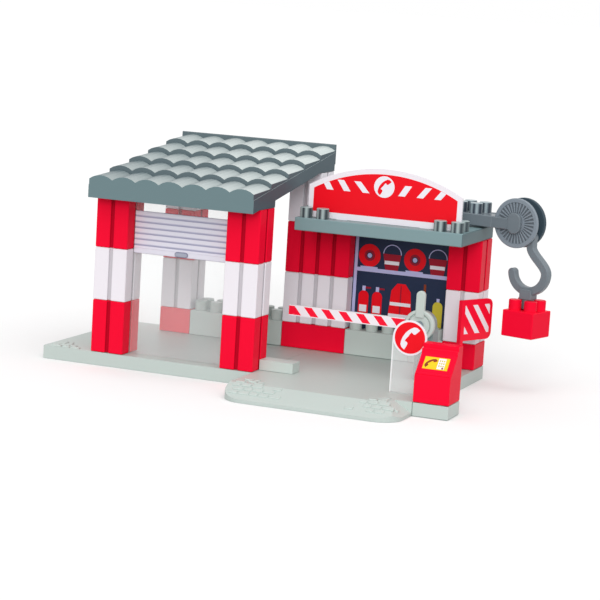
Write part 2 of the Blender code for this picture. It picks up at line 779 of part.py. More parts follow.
def equipment_panel():
    low = BASE_HEIGHT + BRICK_HEIGHT + SEAT_GAP
    panel = sheet_between(WALL_COLUMN + WALL_COLUMNS, OFFICE_LAST_COLUMN - PILLAR_STUDS,
                          REAR_ROW + 1, low, office_top() - SEAT_GAP)
    return publish(panel, "equipment_panel", NAVY)


def shutter_profile(face):
    """The slats, seen from the side: flat faces with a V groove between each two."""
    pitch = (SHUTTER_HIGH - SHUTTER_LOW) / SLAT_COUNT
    proud = face - SHUTTER_RELIEF
    points = [(face + EMBED, BASE_HEIGHT + SHUTTER_HIGH), (face + EMBED, BASE_HEIGHT + SHUTTER_LOW)]
    for k in range(SLAT_COUNT):
        low = BASE_HEIGHT + SHUTTER_LOW + pitch * k
        valley = proud + SHUTTER_RELIEF / 2 if k else proud
        points += [(valley, low), (proud, low + SLAT_GROOVE / 2), (proud, low + pitch - SLAT_GROOVE / 2)]
    return points + [(proud, BASE_HEIGHT + SHUTTER_HIGH)]


def garage_door_panel():
    """The clear door sheet, with the rolled-down shutter moulded on its upper part."""
    two = PILLAR_STUDS
    last = GARAGE_COLUMNS - two
    y = grid_y(1)
    face = y - SHEET_THICKNESS / 2
    panel = sheet_between(two, last, 1, BASE_HEIGHT + SEAT_GAP, front_seat() - DOOR_TOP_CLEARANCE)
    left = grid_x(two) + RUN_GAP
    right = grid_x(last) - RUN_GAP
    join(panel, prism(shutter_profile(face), left, right, along="x"))
    bar_low = BASE_HEIGHT + SHUTTER_LOW - DOOR_BAR_HEIGHT / 2
    join(panel, boxes([((left, face - DOOR_BAR_RELIEF, bar_low),
                        (right, face + EMBED, bar_low + DOOR_BAR_HEIGHT))]))
    middle = ((left + right) / 2, bar_low + DOOR_BAR_HEIGHT)
    straight = (HANDLE_WIDTH - HANDLE_HEIGHT) / 2
    quarter = math.radians(90)
    steps = STUD_SIDES // 2
    oval = arc((middle[0] + straight, middle[1]), HANDLE_HEIGHT / 2, -quarter, quarter, steps)
    oval += arc((middle[0] - straight, middle[1]), HANDLE_HEIGHT / 2, quarter, 3 * quarter, steps)
    join(panel, prism(oval, face - HANDLE_RELIEF, face + EMBED, along="y"))
    return publish(panel, "garage_door_panel", CLEAR)


def round_sign_sheet():
    """A clear sheet with a round top, standing in the slot of the station base."""
    middle = grid_x(ROUND_SIGN_COLUMN)
    radius = round_sign_radius()
    centre = (middle, BASE_HEIGHT + ROUND_SIGN_HEIGHT - radius)
    outline = arc(centre, radius, 0, math.radians(180), ROUND_SIDES // 2)
    low = BASE_HEIGHT - ROUND_SIGN_SLOT_DEPTH + SEAT_GAP
    outline += [(middle - radius, low), (middle + radius, low)]
    y = grid_y(ROUND_SIGN_ROW)
    sheet = prism(outline, y - SHEET_THICKNESS / 2, y + SHEET_THICKNESS / 2, along="y")
    return publish(sheet, "round_sign_sheet", CLEAR)


# Call box

def call_box_plate():
    two = PILLAR_STUDS
    return block("call_box_plate", PALE_GREY, CALL_BOX_COLUMN, CALL_BOX_ROW, two, two, 0, PLATE_HEIGHT, False)


def call_box():
    """A console with a sloping face and two ledges above it."""
    two = PILLAR_STUDS
    seat = PLATE_HEIGHT + SEAT_GAP
    left = grid_x(CALL_BOX_COLUMN) + SEAT_GAP / 2
    right = grid_x(CALL_BOX_COLUMN + two) - SEAT_GAP / 2
    front = grid_y(CALL_BOX_ROW) + SEAT_GAP / 2
    back = grid_y(CALL_BOX_ROW + two) - SHEET_THICKNESS / 2 - SEAT_GAP
    top = PLATE_HEIGHT + CALL_BOX_HEIGHT
    brow = grid_y(CALL_BOX_ROW + 1)
    profile = [(front, seat), (back, seat), (back, top),
               (brow + CALL_BOX_LEDGE_DEPTH, top), (brow + CALL_BOX_LEDGE_DEPTH, top - CALL_BOX_LEDGE_RISE),
               (brow, top - CALL_BOX_LEDGE_RISE), (brow, top - 2 * CALL_BOX_LEDGE_RISE),
               (front, PLATE_HEIGHT + CALL_BOX_SLOPE_LOW)]
    box = prism(profile, left, right, along="x")
    wall = BLOCK_WALL
    cut(box, boxes([((left + wall, front + wall, 0), (right - wall, back - wall + SHEET_THICKNESS / 2,
                                                       PLATE_HEIGHT + CALL_BOX_CAVITY))]))
    return publish(box, "call_box", RED)


# Barrier

def barrier_pivot():
    """The axis of the barrier, on the front face of its post."""
    return Vector((grid_x(BARRIER_COLUMN) + BARRIER_PIVOT_OFFSET, grid_y(BARRIER_ROW) + SEAT_GAP / 2,
                   BASE_HEIGHT + BARRIER_PIVOT_HEIGHT))


def barrier_post():
    """A post one stud wide with a round top and a boss, bored for the pin, beside its head."""
    left = grid_x(BARRIER_COLUMN) + SEAT_GAP / 2
    right = grid_x(BARRIER_COLUMN + 1) - SEAT_GAP / 2
    front = barrier_pivot().y
    back = grid_y(BARRIER_ROW + 1) - SEAT_GAP / 2
    radius = (right - left) / 2
    centre = ((left + right) / 2, BASE_HEIGHT + BARRIER_POST_SHOULDER)
    outline = arc(centre, radius, 0, math.radians(180), ROUND_SIDES // 2)
    outline += [(left, BASE_HEIGHT + SEAT_GAP), (right, BASE_HEIGHT + SEAT_GAP)]
    post = prism(outline, front, back, along="y")
    wall = BLOCK_WALL
    cut(post, boxes([((left + wall, front + wall, 0),
                      (right - wall, back - wall, BASE_HEIGHT + BARRIER_POST_CAVITY))]))
    pivot = barrier_pivot()
    join(post, rods([(pivot + Vector((0, BOSS_DEPTH / 2, 0)), BOSS_RADIUS, BOSS_DEPTH)], axis="y"))
    length = BARRIER_PIN_BITE + RUN_GAP + OVERRUN
    bore = rods([(pivot + Vector((0, length / 2 - OVERRUN, 0)), BARRIER_PIN_RADIUS + RUN_GAP / 2, length)],
                axis="y", sides=STUD_SIDES)
    cut(post, bore)
    soften(post)
    return publish(post, "barrier_post", PALE_GREY)


def hub_front():
    """Y of the hub's front face, measured from the pivot at the post's face."""
    return -RUN_GAP - HUB_THICKNESS


def barrier_pin():
    shaft = BARRIER_PIN_BITE - hub_front() + RUN_GAP + EMBED
    start = hub_front() - RUN_GAP - EMBED
    pin = rods([(Vector((0, start + shaft / 2, 0)), BARRIER_PIN_RADIUS, shaft)], axis="y", sides=STUD_SIDES)
    head_middle = hub_front() - RUN_GAP - BARRIER_PIN_HEAD / 2
    join(pin, rods([(Vector((0, head_middle, 0)), BARRIER_PIN_HEAD_RADIUS, BARRIER_PIN_HEAD)],
                   axis="y", sides=STUD_SIDES))
    soften(pin)
    return publish(pin, "barrier_pin", MID_GREY, barrier_pivot())


def barrier_arm():
    """Hub, upright lever and the bar that backs the boom, turning on the pin."""
    front = hub_front()
    back = -RUN_GAP
    arm = rods([(Vector((0, (front + back) / 2, 0)), HUB_RADIUS, HUB_THICKNESS)], axis="y")
    tip = LEVER_REACH - LEVER_WIDTH / 2
    half = LEVER_WIDTH / 2
    lever = arc((0, tip), half, 0, math.radians(180), STUD_SIDES // 2)
    lever += [(-half, HUB_RADIUS / 2), (half, HUB_RADIUS / 2)]
    join(arm, prism(lever, back - LEVER_THICKNESS, back - EMBED, along="y"))
    bar = rectangle(-BOOM_REACH, -HUB_RADIUS / 2, -BOOM_HEIGHT / 2, BOOM_HEIGHT / 2)
    join(arm, prism(bar, back - BOOM_THICKNESS, back - EMBED, along="y"))
    bore = rods([(Vector((0, back, 0)), BARRIER_PIN_RADIUS + RUN_GAP, 4 * HUB_THICKNESS)],
                axis="y", sides=STUD_SIDES)
    cut(arm, bore)
    soften(arm)
    return publish(arm, "barrier_arm", PALE_GREY, barrier_pivot())


def boom_board():
    """The striped board on the front of the boom. Its inner end follows the hub's rim."""
    back = -RUN_GAP - BOOM_THICKNESS - RUN_GAP
    half = BOOM_HEIGHT / 2
    radius = HUB_RADIUS + RUN_GAP
    reach = math.asin(half / radius)
    half_turn = math.radians(180)
    inner = arc((0, 0), radius, half_turn - reach, half_turn + reach, STUD_SIDES // 2)
    outline = inner + [(-BOOM_REACH, -half), (-BOOM_REACH, half)]
    board = prism(outline, back - BOARD_THICKNESS, back, along="y")
    return publish(board, "boom_board", STRIPED, barrier_pivot())


# Striped flag

def striped_flag():
    """A board on a square post, whose round foot turns in the base."""
    half = FLAG_POST_SIZE / 2
    foot = BASE_HEIGHT + SEAT_GAP
    flag = boxes([((-half, -half, foot), (half, half, BASE_HEIGHT + FLAG_HIGH))])
    low = BASE_HEIGHT + FLAG_LOW
    high = BASE_HEIGHT + FLAG_HIGH
    quarter = math.radians(90)
    steps = STUD_SIDES // 2
    inner = half - EMBED
    outline = [(inner, low)]
    outline += arc((FLAG_REACH - FLAG_CORNER, low + FLAG_CORNER), FLAG_CORNER, -quarter, 0, steps)
    outline += arc((FLAG_REACH - FLAG_CORNER, high - FLAG_CORNER), FLAG_CORNER, 0, quarter, steps)
    outline += [(inner, high)]
    join(flag, prism(outline, -FLAG_THICKNESS / 2, FLAG_THICKNESS / 2, along="y"))
    length = FLAG_PIN_DEPTH + SEAT_GAP + EMBED
    pin = rods([(Vector((0, 0, foot + EMBED - length / 2)), FLAG_PIN_RADIUS, length)], sides=STUD_SIDES)
    join(flag, pin)
    publish(flag, "striped_flag", STRIPED, (FLAG_X, FLAG_Y, 0))
    flag.rotation_euler = (0, 0, FLAG_TURN)
    return flag


# Crane

def crane_x():
    return grid_x(CRANE_COLUMN)


def crane_y():
    return grid_y(CRANE_ROW)


def pivot_empty(name, place, turn=0, parent=None):
    empty = bpy.data.objects.new(name, None)
    empty.location = place
    empty.rotation_euler = (0, 0, turn)
    empty.parent = parent
    parts_collection().objects.link(empty)
    return empty


def crane_foot():
    """A round foot with one peg down into the canopy and one up into the arm."""
    low = canopy_top() + SEAT_GAP
    centre = Vector((crane_x(), crane_y(), low + FOOT_THICKNESS / 2))
    foot = rods([(centre, FOOT_RADIUS, FOOT_THICKNESS)])
    bottom = low - PIVOT_DEPTH
    top = low + FOOT_THICKNESS + RUN_GAP + ARM_BORE_DEPTH - RUN_GAP
    peg = rods([(Vector((crane_x(), crane_y(), (bottom + top) / 2)), PIVOT_RADIUS, top - bottom)],
               sides=STUD_SIDES)
    join(foot, peg)
    soften(foot)
    return publish(foot, "crane_foot", MID_GREY)


def arm_low():
    return canopy_top() + SEAT_GAP + FOOT_THICKNESS + RUN_GAP


def wheel_centre():
    """The wheel's axis in the crane's own frame, at the front face of the strap."""
    return Vector((WHEEL_REACH, -STUD_PITCH, arm_low() + ARM_HEIGHT / 2 + WHEEL_RISE))


def hub_outline(wheel):
    """The upright oval at the strap's end, straight at its sides and round above and below."""
    radius = HUB_BOSS_WIDTH / 2
    offset = HUB_BOSS_HEIGHT / 2 - radius
    half_turn = math.radians(180)
    steps = STUD_SIDES // 2
    upper = arc((wheel.x, wheel.z + offset), radius, 0, half_turn, steps)
    return upper + arc((wheel.x, wheel.z - offset), radius, half_turn, 2 * half_turn, steps)


def crane_arm(pivot):
    """A two by two stud body, a bar and a strap that carries the wheel at its oval end."""
    low = arm_low()
    high = low + ARM_HEIGHT
    half = STUD_PITCH
    front = -half
    wheel = wheel_centre()
    arm = boxes([((-half, -half, low), (half, half, high))])
    bar_end = wheel.x - WHEEL_RADIUS - 2 * RUN_GAP
    join(arm, boxes([((half - EMBED, front, low), (bar_end, front + ARM_BAR_DEPTH, high))]))
    join(arm, boxes([((half - EMBED, front, low), (wheel.x, front + STRAP_THICKNESS, high))]))
    join(arm, prism(hub_outline(wheel), front, front + STRAP_THICKNESS, along="y"))
    two = PILLAR_STUDS
    join(arm, rods(stud_rows(two, two, high), sides=STUD_SIDES))
    depth = ARM_BORE_DEPTH + OVERRUN
    cut(arm, rods([(Vector((0, 0, low + ARM_BORE_DEPTH - depth / 2)), PIVOT_RADIUS + RUN_GAP, depth)],
                  sides=STUD_SIDES))
    bite = AXLE_BITE + OVERRUN
    middle = Vector((wheel.x, front + STRAP_THICKNESS - AXLE_BITE + bite / 2, wheel.z))
    cut(arm, rods([(middle, AXLE_RADIUS + RUN_GAP / 2, bite)], axis="y", sides=STUD_SIDES))
    soften(arm)
    return publish(arm, "crane_arm", MID_GREY, parent=pivot)


def disc_front():
    """Y of the front disc's face, behind the strap, measured from the strap's front."""
    return STRAP_THICKNESS + RUN_GAP


def wheel_front_disc(pivot):
    """The ribbed disc behind the strap: a raised rim, a recessed ring of ribs and a flat middle."""
    front = disc_front()
    middle = Vector((0, front + FRONT_DISC / 2, 0))
    disc = rods([(middle, WHEEL_RADIUS, FRONT_DISC)], axis="y", sides=WHEEL_SIDES)
    outer = WHEEL_RADIUS - WHEEL_RIM_WIDTH
    slots = bmesh.new()
    for k in range(RIB_COUNT):
        turn = Matrix.Rotation(math.radians(360) * k / RIB_COUNT, 4, "Y")
        middle = Vector(((outer + WHEEL_HUB_RADIUS) / 2, front, 0))
        size = Vector((outer - WHEEL_HUB_RADIUS, 2 * WHEEL_RECESS, 2 * RIB_WIDTH))
        place = turn @ Matrix.Translation(middle) @ Matrix.Diagonal((*size, 1))
        bmesh.ops.create_cube(slots, size=1.0, matrix=place)
    cut(disc, raw_object(slots))
    cut(disc, rods([(Vector((0, front, 0)), AXLE_RADIUS + RUN_GAP, 4 * FRONT_DISC)], axis="y",
                   sides=STUD_SIDES))
    soften(disc)
    return publish(disc, "wheel_front_disc", MID_GREY, parent=pivot)


def wheel_rear_disc(pivot):
    """The thick rear disc, its core, and the pin near its rim that holds the hook."""
    face = disc_front() + FRONT_DISC + HOOK_SLOT
    middle = Vector((0, face + REAR_DISC / 2, 0))
    disc = rods([(middle, WHEEL_RADIUS, REAR_DISC)], axis="y", sides=WHEEL_SIDES)
    reach = HOOK_SLOT - RUN_GAP
    join(disc, rods([(Vector((0, face - reach / 2 + EMBED, 0)), WHEEL_CORE_RADIUS, reach + EMBED)],
                    axis="y", sides=STUD_SIDES))
    pin = hook_pin_place()
    join(disc, rods([(Vector((pin[0], face - reach / 2 + EMBED, pin[1])), HOOK_PIN_RADIUS, reach + EMBED)],
                    axis="y", sides=STUD_SIDES))
    cut(disc, rods([(Vector((0, face, 0)), AXLE_RADIUS + RUN_GAP, 4 * HOOK_SLOT)], axis="y",
                   sides=STUD_SIDES))
    soften(disc)
    return publish(disc, "wheel_rear_disc", MID_GREY, parent=pivot)


def wheel_axle(pivot):
    """An axle that is fixed in the strap, runs through both discs and the core, and ends in a head."""
    start = STRAP_THICKNESS - AXLE_BITE + RUN_GAP
    end = disc_front() + FRONT_DISC + HOOK_SLOT + REAR_DISC + RUN_GAP
    length = end + EMBED - start
    axle = rods([(Vector((0, start + length / 2, 0)), AXLE_RADIUS, length)], axis="y", sides=STUD_SIDES)
    head = Vector((0, end + AXLE_HEAD / 2, 0))
    join(axle, rods([(head, AXLE_HEAD_RADIUS, AXLE_HEAD)], axis="y", sides=STUD_SIDES))
    soften(axle)
    return publish(axle, "wheel_axle", MID_GREY, parent=pivot)


def hook_pin_place():
    return (HOOK_PIN_ORBIT * math.cos(HOOK_PIN_ANGLE), HOOK_PIN_ORBIT * math.sin(HOOK_PIN_ANGLE))


def hook_points():
    """The hook's middle line: straight down from the eye, out in a soft S and round the bowl."""
    radius = HOOK_BOWL_RADIUS
    points = [(0, 0)]
    for k in range(HOOK_NECK_STEPS):
        share = k / HOOK_NECK_STEPS
        ease = share * share * (3 - 2 * share)
        points.append((radius * ease, -HOOK_NECK_DROP - (HOOK_BOWL_DROP - HOOK_NECK_DROP) * share))
    return points + arc((0, -HOOK_BOWL_DROP), radius, 0, HOOK_TIP_ANGLE, HOOK_BEND_STEPS)


def hook_outline():
    """Both sides of the hook's middle line, joined round the tip."""
    points = [Vector(point) for point in hook_points()]
    left, right = [], []
    for k, point in enumerate(points):
        ahead = points[min(k + 1, len(points) - 1)] - points[max(k - 1, 0)]
        side = Vector((-ahead.y, ahead.x)).normalized() * HOOK_HALF_WIDTH
        left.append(tuple(point + side))
        right.append(tuple(point - side))
    ahead = points[-1] - points[-2]
    heading = math.atan2(ahead.y, ahead.x)
    quarter = math.radians(90)
    tip = arc(points[-1], HOOK_HALF_WIDTH, heading + quarter, heading - quarter, HOOK_TIP_STEPS)
    return left[:-1] + tip + right[-2::-1]


def crane_hook(pivot):
    """Eye, curved flat bar, square plug and the peg that goes between a brick's studs."""
    hook = prism(hook_outline(), -HOOK_DEPTH / 2, HOOK_DEPTH / 2, along="y")
    join(hook, rods([(Vector((0, 0, 0)), HOOK_EYE_RADIUS, HOOK_EYE_THICKNESS)], axis="y",
                    sides=STUD_SIDES))
    half = PLUG_SIZE / 2
    low = plug_low()
    join(hook, boxes([((-half, -half, low), (half, half, low + PLUG_DROP))]))
    length = PEG_LENGTH + EMBED
    join(hook, rods([(Vector((0, 0, low + EMBED - length / 2)), PEG_RADIUS, length)], sides=STUD_SIDES))
    cut(hook, rods([(Vector((0, 0, 0)), HOOK_PIN_RADIUS + RUN_GAP, 2 * HOOK_EYE_THICKNESS)], axis="y",
                   sides=STUD_SIDES))
    soften(hook)
    return publish(hook, "crane_hook", MID_GREY, parent=pivot)


def plug_low():
    """Height of the plug's flat underside, from the hook's pin."""
    return -HOOK_BOWL_DROP - HOOK_BOWL_RADIUS - PLUG_DROP + HOOK_HALF_WIDTH / 2


def hanging_brick(pivot):
    """A two by two brick gripped between its studs by the hook's peg."""
    two = PILLAR_STUDS
    body = block_shape(two, two, BRICK_HEIGHT, False)
    top = plug_low() - SEAT_GAP - STUD_HEIGHT
    place = (0, 0, top - BRICK_HEIGHT + SEAT_GAP)
    soften(body)
    return publish(body, "hanging_brick", RED, place, parent=pivot)


def crane():
    crane_foot()
    swivel = pivot_empty("crane_swivel", (crane_x(), crane_y(), 0), CRANE_TURN)
    crane_arm(swivel)
    axis = pivot_empty("wheel_axis", wheel_centre(), parent=swivel)
    wheel_axle(axis)
    wheel_front_disc(axis)
    wheel_rear_disc(axis)
    pin = hook_pin_place()
    slot_middle = disc_front() + FRONT_DISC + HOOK_SLOT / 2
    hang = pivot_empty("hook_axis", (pin[0], slot_middle, pin[1]), parent=axis)
    crane_hook(hang)
    hanging_brick(hang)


def build():
    clear_scene()
    garage_base()
    station_base()
    door_kerb()
    pillars_and_walls()
    low_walls()
    garage_door_panel()
    garage_roof()
    equipment_panel()
    roof_plate()
    arched_sign()
    round_sign_sheet()
    call_box_plate()
    call_box()
    barrier_post()
    barrier_pin()
    barrier_arm()
    boom_board()
    striped_flag()
    crane()


build()
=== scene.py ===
# %% [markdown]
# # Toy fire station of stud blocks
#
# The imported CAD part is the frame, and this notebook gives it its looks. Blocks, plates and the
# crane are moulded plastic, so every one gets small chamfers that catch the light, round studs and
# a plastic finish. Signs, stripes and the office panel are thin prints. Lengths are in metres, +Z
# is up, the open front faces -Y, and the origin is on the ground under the office.

# %% Start: the frame and its size
import json
import math
import bmesh
import bpy
from mathutils import Matrix, Vector

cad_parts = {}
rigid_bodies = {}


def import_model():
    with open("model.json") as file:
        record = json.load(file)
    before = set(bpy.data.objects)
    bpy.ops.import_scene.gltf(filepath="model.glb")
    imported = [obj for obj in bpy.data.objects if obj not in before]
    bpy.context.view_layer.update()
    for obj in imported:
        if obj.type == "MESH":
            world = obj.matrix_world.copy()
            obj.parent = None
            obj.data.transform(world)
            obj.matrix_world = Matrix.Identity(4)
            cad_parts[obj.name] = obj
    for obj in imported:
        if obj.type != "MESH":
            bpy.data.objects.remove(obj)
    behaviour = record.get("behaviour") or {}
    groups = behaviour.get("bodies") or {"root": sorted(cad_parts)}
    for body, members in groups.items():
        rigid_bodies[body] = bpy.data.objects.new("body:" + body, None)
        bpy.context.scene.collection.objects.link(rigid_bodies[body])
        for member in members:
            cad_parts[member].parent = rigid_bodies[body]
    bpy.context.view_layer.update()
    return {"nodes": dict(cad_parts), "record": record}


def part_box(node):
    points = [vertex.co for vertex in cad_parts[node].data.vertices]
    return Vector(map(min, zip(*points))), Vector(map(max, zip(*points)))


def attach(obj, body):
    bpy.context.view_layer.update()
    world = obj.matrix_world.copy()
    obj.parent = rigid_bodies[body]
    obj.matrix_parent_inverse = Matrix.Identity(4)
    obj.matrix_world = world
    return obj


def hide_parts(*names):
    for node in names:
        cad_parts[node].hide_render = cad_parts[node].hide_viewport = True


for left_over in list(bpy.data.objects):
    bpy.data.objects.remove(left_over, do_unlink=True)
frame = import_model()
pivots = {joint["name"]: Vector(joint["pos_m"]) for joint in frame["record"]["behaviour"]["joints"]}

# %% [markdown]
# ## Shader helpers
#
# A `Wire` is one output of a shader node. Plain arithmetic on wires adds Math nodes, so patterns
# read like formulas. A `Look` is one material: `node` adds any other node by its type.

# %% Wires and looks


class Wire:
    """A shader socket that does arithmetic."""

    def __init__(self, look, socket):
        self.look = look
        self.socket = socket

    def maths(self, operation, *others):
        return self.look.node("ShaderNodeMath", [self, *others], operation=operation)

    def __add__(self, other):
        return self.maths("ADD", other)

    def __sub__(self, other):
        return self.maths("SUBTRACT", other)

    def __mul__(self, other):
        return self.maths("MULTIPLY", other)

    def __truediv__(self, other):
        return self.maths("DIVIDE", other)

    __radd__ = __add__
    __rmul__ = __mul__

    def __rsub__(self, other):
        return self.look.constant(other) - self

    def __rtruediv__(self, other):
        return self.look.constant(other) / self

    def fraction(self):
        return self.maths("FRACT")

    def below(self, limit):
        return self.maths("LESS_THAN", limit)

    def above(self, limit):
        return self.maths("GREATER_THAN", limit)

    def between(self, low, high):
        return self.above(low) * self.below(high)

    def larger(self, other):
        return self.maths("MAXIMUM", other)

    def share(self, start, end, **settings):
        """How far the value is on its way from start to end, kept within 0 and 1."""
        return self.look.node("ShaderNodeMapRange", {"Value": self, "From Min": start, "From Max": end},
                              **settings)


class Look:
    """A material whose tree ends in one Principled shader."""

    def __init__(self, name, colour, roughness, coat=0.0, alpha=1.0):
        self.material = bpy.data.materials.new(name)
        self.material.use_nodes = True
        self.tree = self.material.node_tree
        self.shader = self.tree.nodes["Principled BSDF"]
        self.material.diffuse_color = (*colour, alpha)
        self.set("Base Color", (*colour, 1.0))
        self.set("Roughness", roughness)
        self.set("Coat Weight", coat)
        self.set("Coat Roughness", 0.08)
        self.set("Alpha", alpha)

    def set(self, name, value):
        self.put(self.shader.inputs[name], value)

    def put(self, socket, value):
        if isinstance(value, Wire):
            self.tree.links.new(value.socket, socket)
        elif isinstance(value, (int, float)) and socket.type == "RGBA":
            socket.default_value = (value, value, value, 1.0)
        else:
            socket.default_value = value

    def node(self, kind, values, output=0, **settings):
        """Add a node. Values go to its inputs by place or, in a dict, by name or number."""
        node = self.tree.nodes.new(kind)
        for name, value in settings.items():
            setattr(node, name, value)
        pairs = values.items() if isinstance(values, dict) else enumerate(values)
        for key, value in pairs:
            self.put(node.inputs[key], value)
        return Wire(self, node.outputs[output])

    def constant(self, number):
        wire = self.node("ShaderNodeValue", [])
        wire.socket.default_value = number
        return wire

    def parts(self, vector):
        """A vector's X, Y and Z."""
        split = self.node("ShaderNodeSeparateXYZ", [vector])
        return [Wire(self, output) for output in split.socket.node.outputs]

    def place(self):
        """The point's X, Y and Z in metres."""
        return self.parts(self.node("ShaderNodeTexCoord", [], output="Object"))

    def facing(self):
        """The X, Y and Z of the direction that the surface faces."""
        return self.parts(self.node("ShaderNodeTexCoord", [], output="Normal"))

    def mix(self, share, first, second):
        """Blend two colours. A share of 0 gives the first one."""
        colours = [c if isinstance(c, Wire) else (*c, 1.0) for c in (first, second)]
        return self.node("ShaderNodeMix", {0: share, 6: colours[0], 7: colours[1]}, output=2,
                         data_type="RGBA")

    def noise(self, scale, detail=2.0):
        point = self.node("ShaderNodeTexCoord", [], output="Object")
        return self.node("ShaderNodeTexNoise", {"Vector": point, "Scale": scale, "Detail": detail})

    def bump(self, height, distance):
        self.set("Normal", self.node("ShaderNodeBump", {"Height": height, "Distance": distance,
                                                        "Strength": 1.0}))


# %% [markdown]
# ## Plastics
#
# Moulded plastic is nearly even in colour. A soft, large mottling stands for flow marks, finer
# noise for handling on the gloss, and a very shallow bump for the mould's texture. Notch, hollow and
# recess faces get painted shade. The canopy has painted shade on its right-hand side, and the round
# studs of canopy and crane have upright bands of painted highlight and painted shade.

# %% Plastic finishes
RECESS_PAINTED_SHADE = 0.45
FLOW_MARKS, HANDLING, MOULD_TEXTURE = 28.0, 140.0, 900.0
HANDLING_SPREAD = 0.06
MOULD_DEPTH = 0.000003


def plastic(name, colour, roughness, mottle=0.03, grain=MOULD_DEPTH, index=1.35, painted_shade=RECESS_PAINTED_SHADE):
    """A plastic look with painted shade: faces flagged in the mesh, in notches, hollows and recesses, are
    darker by the given share.
    """
    look = Look(name, colour, roughness)
    look.set("IOR", index)
    darker = tuple(c * (1 - mottle) for c in colour)
    # Faces flagged in the mesh, in notches, hollows and recesses, get painted shade.
    marked = look.node("ShaderNodeAttribute", [], output="Fac", attribute_name="painted_shade")
    painted_shade_colour = tuple(c * (1 - painted_shade) for c in colour)
    look.set("Base Color", look.mix(marked, look.mix(look.noise(FLOW_MARKS), darker, colour), painted_shade_colour))
    look.set("Roughness", look.noise(HANDLING) * HANDLING_SPREAD + (roughness - HANDLING_SPREAD / 2))
    look.bump(look.noise(MOULD_TEXTURE, 1.0), grain)
    return look


RED_COLOUR = (0.90, 0.005, 0.034)
WHITE_COLOUR = (0.83, 0.79, 0.84)
PALE_GREY_COLOUR = (0.52, 0.59, 0.56)
SHUTTER_COLOUR = (0.76, 0.75, 0.84)
red = plastic("red plastic", RED_COLOUR, 0.34, index=1.10)
white = plastic("white plastic", WHITE_COLOUR, 0.34, mottle=0.01, index=1.2, painted_shade=0.30)
pale_grey = plastic("pale grey plastic", PALE_GREY_COLOUR, 0.36)
base_grey = plastic("base plate plastic", PALE_GREY_COLOUR, 0.42, grain=0.000008)
mid_grey = plastic("mid grey plastic", (0.17, 0.22, 0.25), 0.30)
post_grey = plastic("barrier post plastic", (0.21, 0.27, 0.27), 0.34)
crane_grey = plastic("crane plastic", (0.16, 0.19, 0.215), 0.32)
wheel_grey = plastic("wheel plastic", (0.22, 0.26, 0.30), 0.34)
dark_grey = plastic("rear disc plastic", (0.045, 0.07, 0.09), 0.36, index=1.2)
shutter_white = plastic("shutter plastic", SHUTTER_COLOUR, 0.34, mottle=0.02)
handle_grey = plastic("handle plastic", (0.38, 0.40, 0.49), 0.35)
handle_edge = plastic("handle outline plastic", (0.22, 0.23, 0.33), 0.35)

CANOPY_FRONT, CANOPY_SIDE_SHADE = (0.21, 0.31, 0.325), (0.105, 0.16, 0.175)
SHADED_SIDE_FACING = 0.7
canopy_grey = plastic("canopy plastic", CANOPY_FRONT, 0.34, index=1.15)
# Painted shade: the canopy's faces that look to +X are darker.
canopy_grey.set("Base Color", canopy_grey.mix(canopy_grey.facing()[0].above(SHADED_SIDE_FACING), CANOPY_FRONT,
                                              CANOPY_SIDE_SHADE))
SHEEN_BANDS, SHEEN_BAND_START = 7.0, 2.2
SHEEN_LEVEL = 0.5


def sheen_banded(name, dark, light):
    """A glossy plastic for round studs, with upright bands of painted highlight and painted shade round
    their sides.
    """
    look = plastic(name, light, 0.28)
    across, _, up = look.facing()
    wave = (across * SHEEN_BANDS + SHEEN_BAND_START).maths("SINE") * 0.5 + 0.5
    look.set("Base Color", look.mix(wave * up.below(SHEEN_LEVEL), light, dark))
    return look


# Stud plastics with upright bands of painted highlight and painted shade.
canopy_stud_sheen = sheen_banded("canopy stud plastic", (0.035, 0.05, 0.06), (0.34, 0.42, 0.42))
crane_stud_sheen = sheen_banded("crane stud plastic", (0.03, 0.04, 0.06), (0.30, 0.37, 0.40))

# %% [markdown]
# ## Shape helpers
#
# Each helper returns a closed bmesh shape. `solid` gives an outline thickness and chamfers its
# sharp edges. `add_piece` merges shapes into one object, gives it its look and lets it ride on a
# CAD body.

# %% Shapes
STUD_PITCH = 0.016
STUD_RADIUS = 0.0058
STUD_HEIGHT = 0.0095
BLOCK_WALL = 0.0016
EDGE, FINE_EDGE = 0.0006, 0.0005
SHARP_EDGE, SHARP_SHADING = math.radians(40), math.radians(32)
AXES = {
    "z": Matrix.Identity(4),
    "y": Matrix(((1, 0, 0, 0), (0, 0, 1, 0), (0, 1, 0, 0), (0, 0, 0, 1))),
    "x": Matrix(((0, 0, 1, 0), (1, 0, 0, 0), (0, 1, 0, 0), (0, 0, 0, 1))),
}


def chamfer(shape, width):
    """Cut off the edges where two faces meet sharply."""
    sharp = [e for e in shape.edges if len(e.link_faces) == 2 and e.calc_face_angle() > SHARP_EDGE]
    bmesh.ops.bevel(shape, geom=sharp, offset=width, offset_type="OFFSET", segments=1, profile=0.5,
                    affect="EDGES", clamp_overlap=True, material=-1)


def solid(outline, low, high, along="z", edge=0.0):
    """An outline with thickness. Its two coordinates are X Y, X Z or Y Z, as along leaves."""
    shape = bmesh.new()
    ring = bmesh.ops.create_circle(shape, cap_ends=True, segments=len(outline), radius=1.0)["verts"]
    for vertex, (a, b) in zip(ring, outline):
        vertex.co = (a, b, low)
    face = ring[0].link_faces[0]
    made = bmesh.ops.extrude_face_region(shape, geom=[face])["geom"]
    top = [g for g in made if isinstance(g, bmesh.types.BMVert)]
    bmesh.ops.translate(shape, verts=top, vec=(0, 0, high - low))
    bmesh.ops.recalc_face_normals(shape, faces=shape.faces)
    if edge:
        chamfer(shape, edge)
    bmesh.ops.transform(shape, matrix=AXES[along], verts=shape.verts)
    bmesh.ops.recalc_face_normals(shape, faces=shape.faces)
    return shape


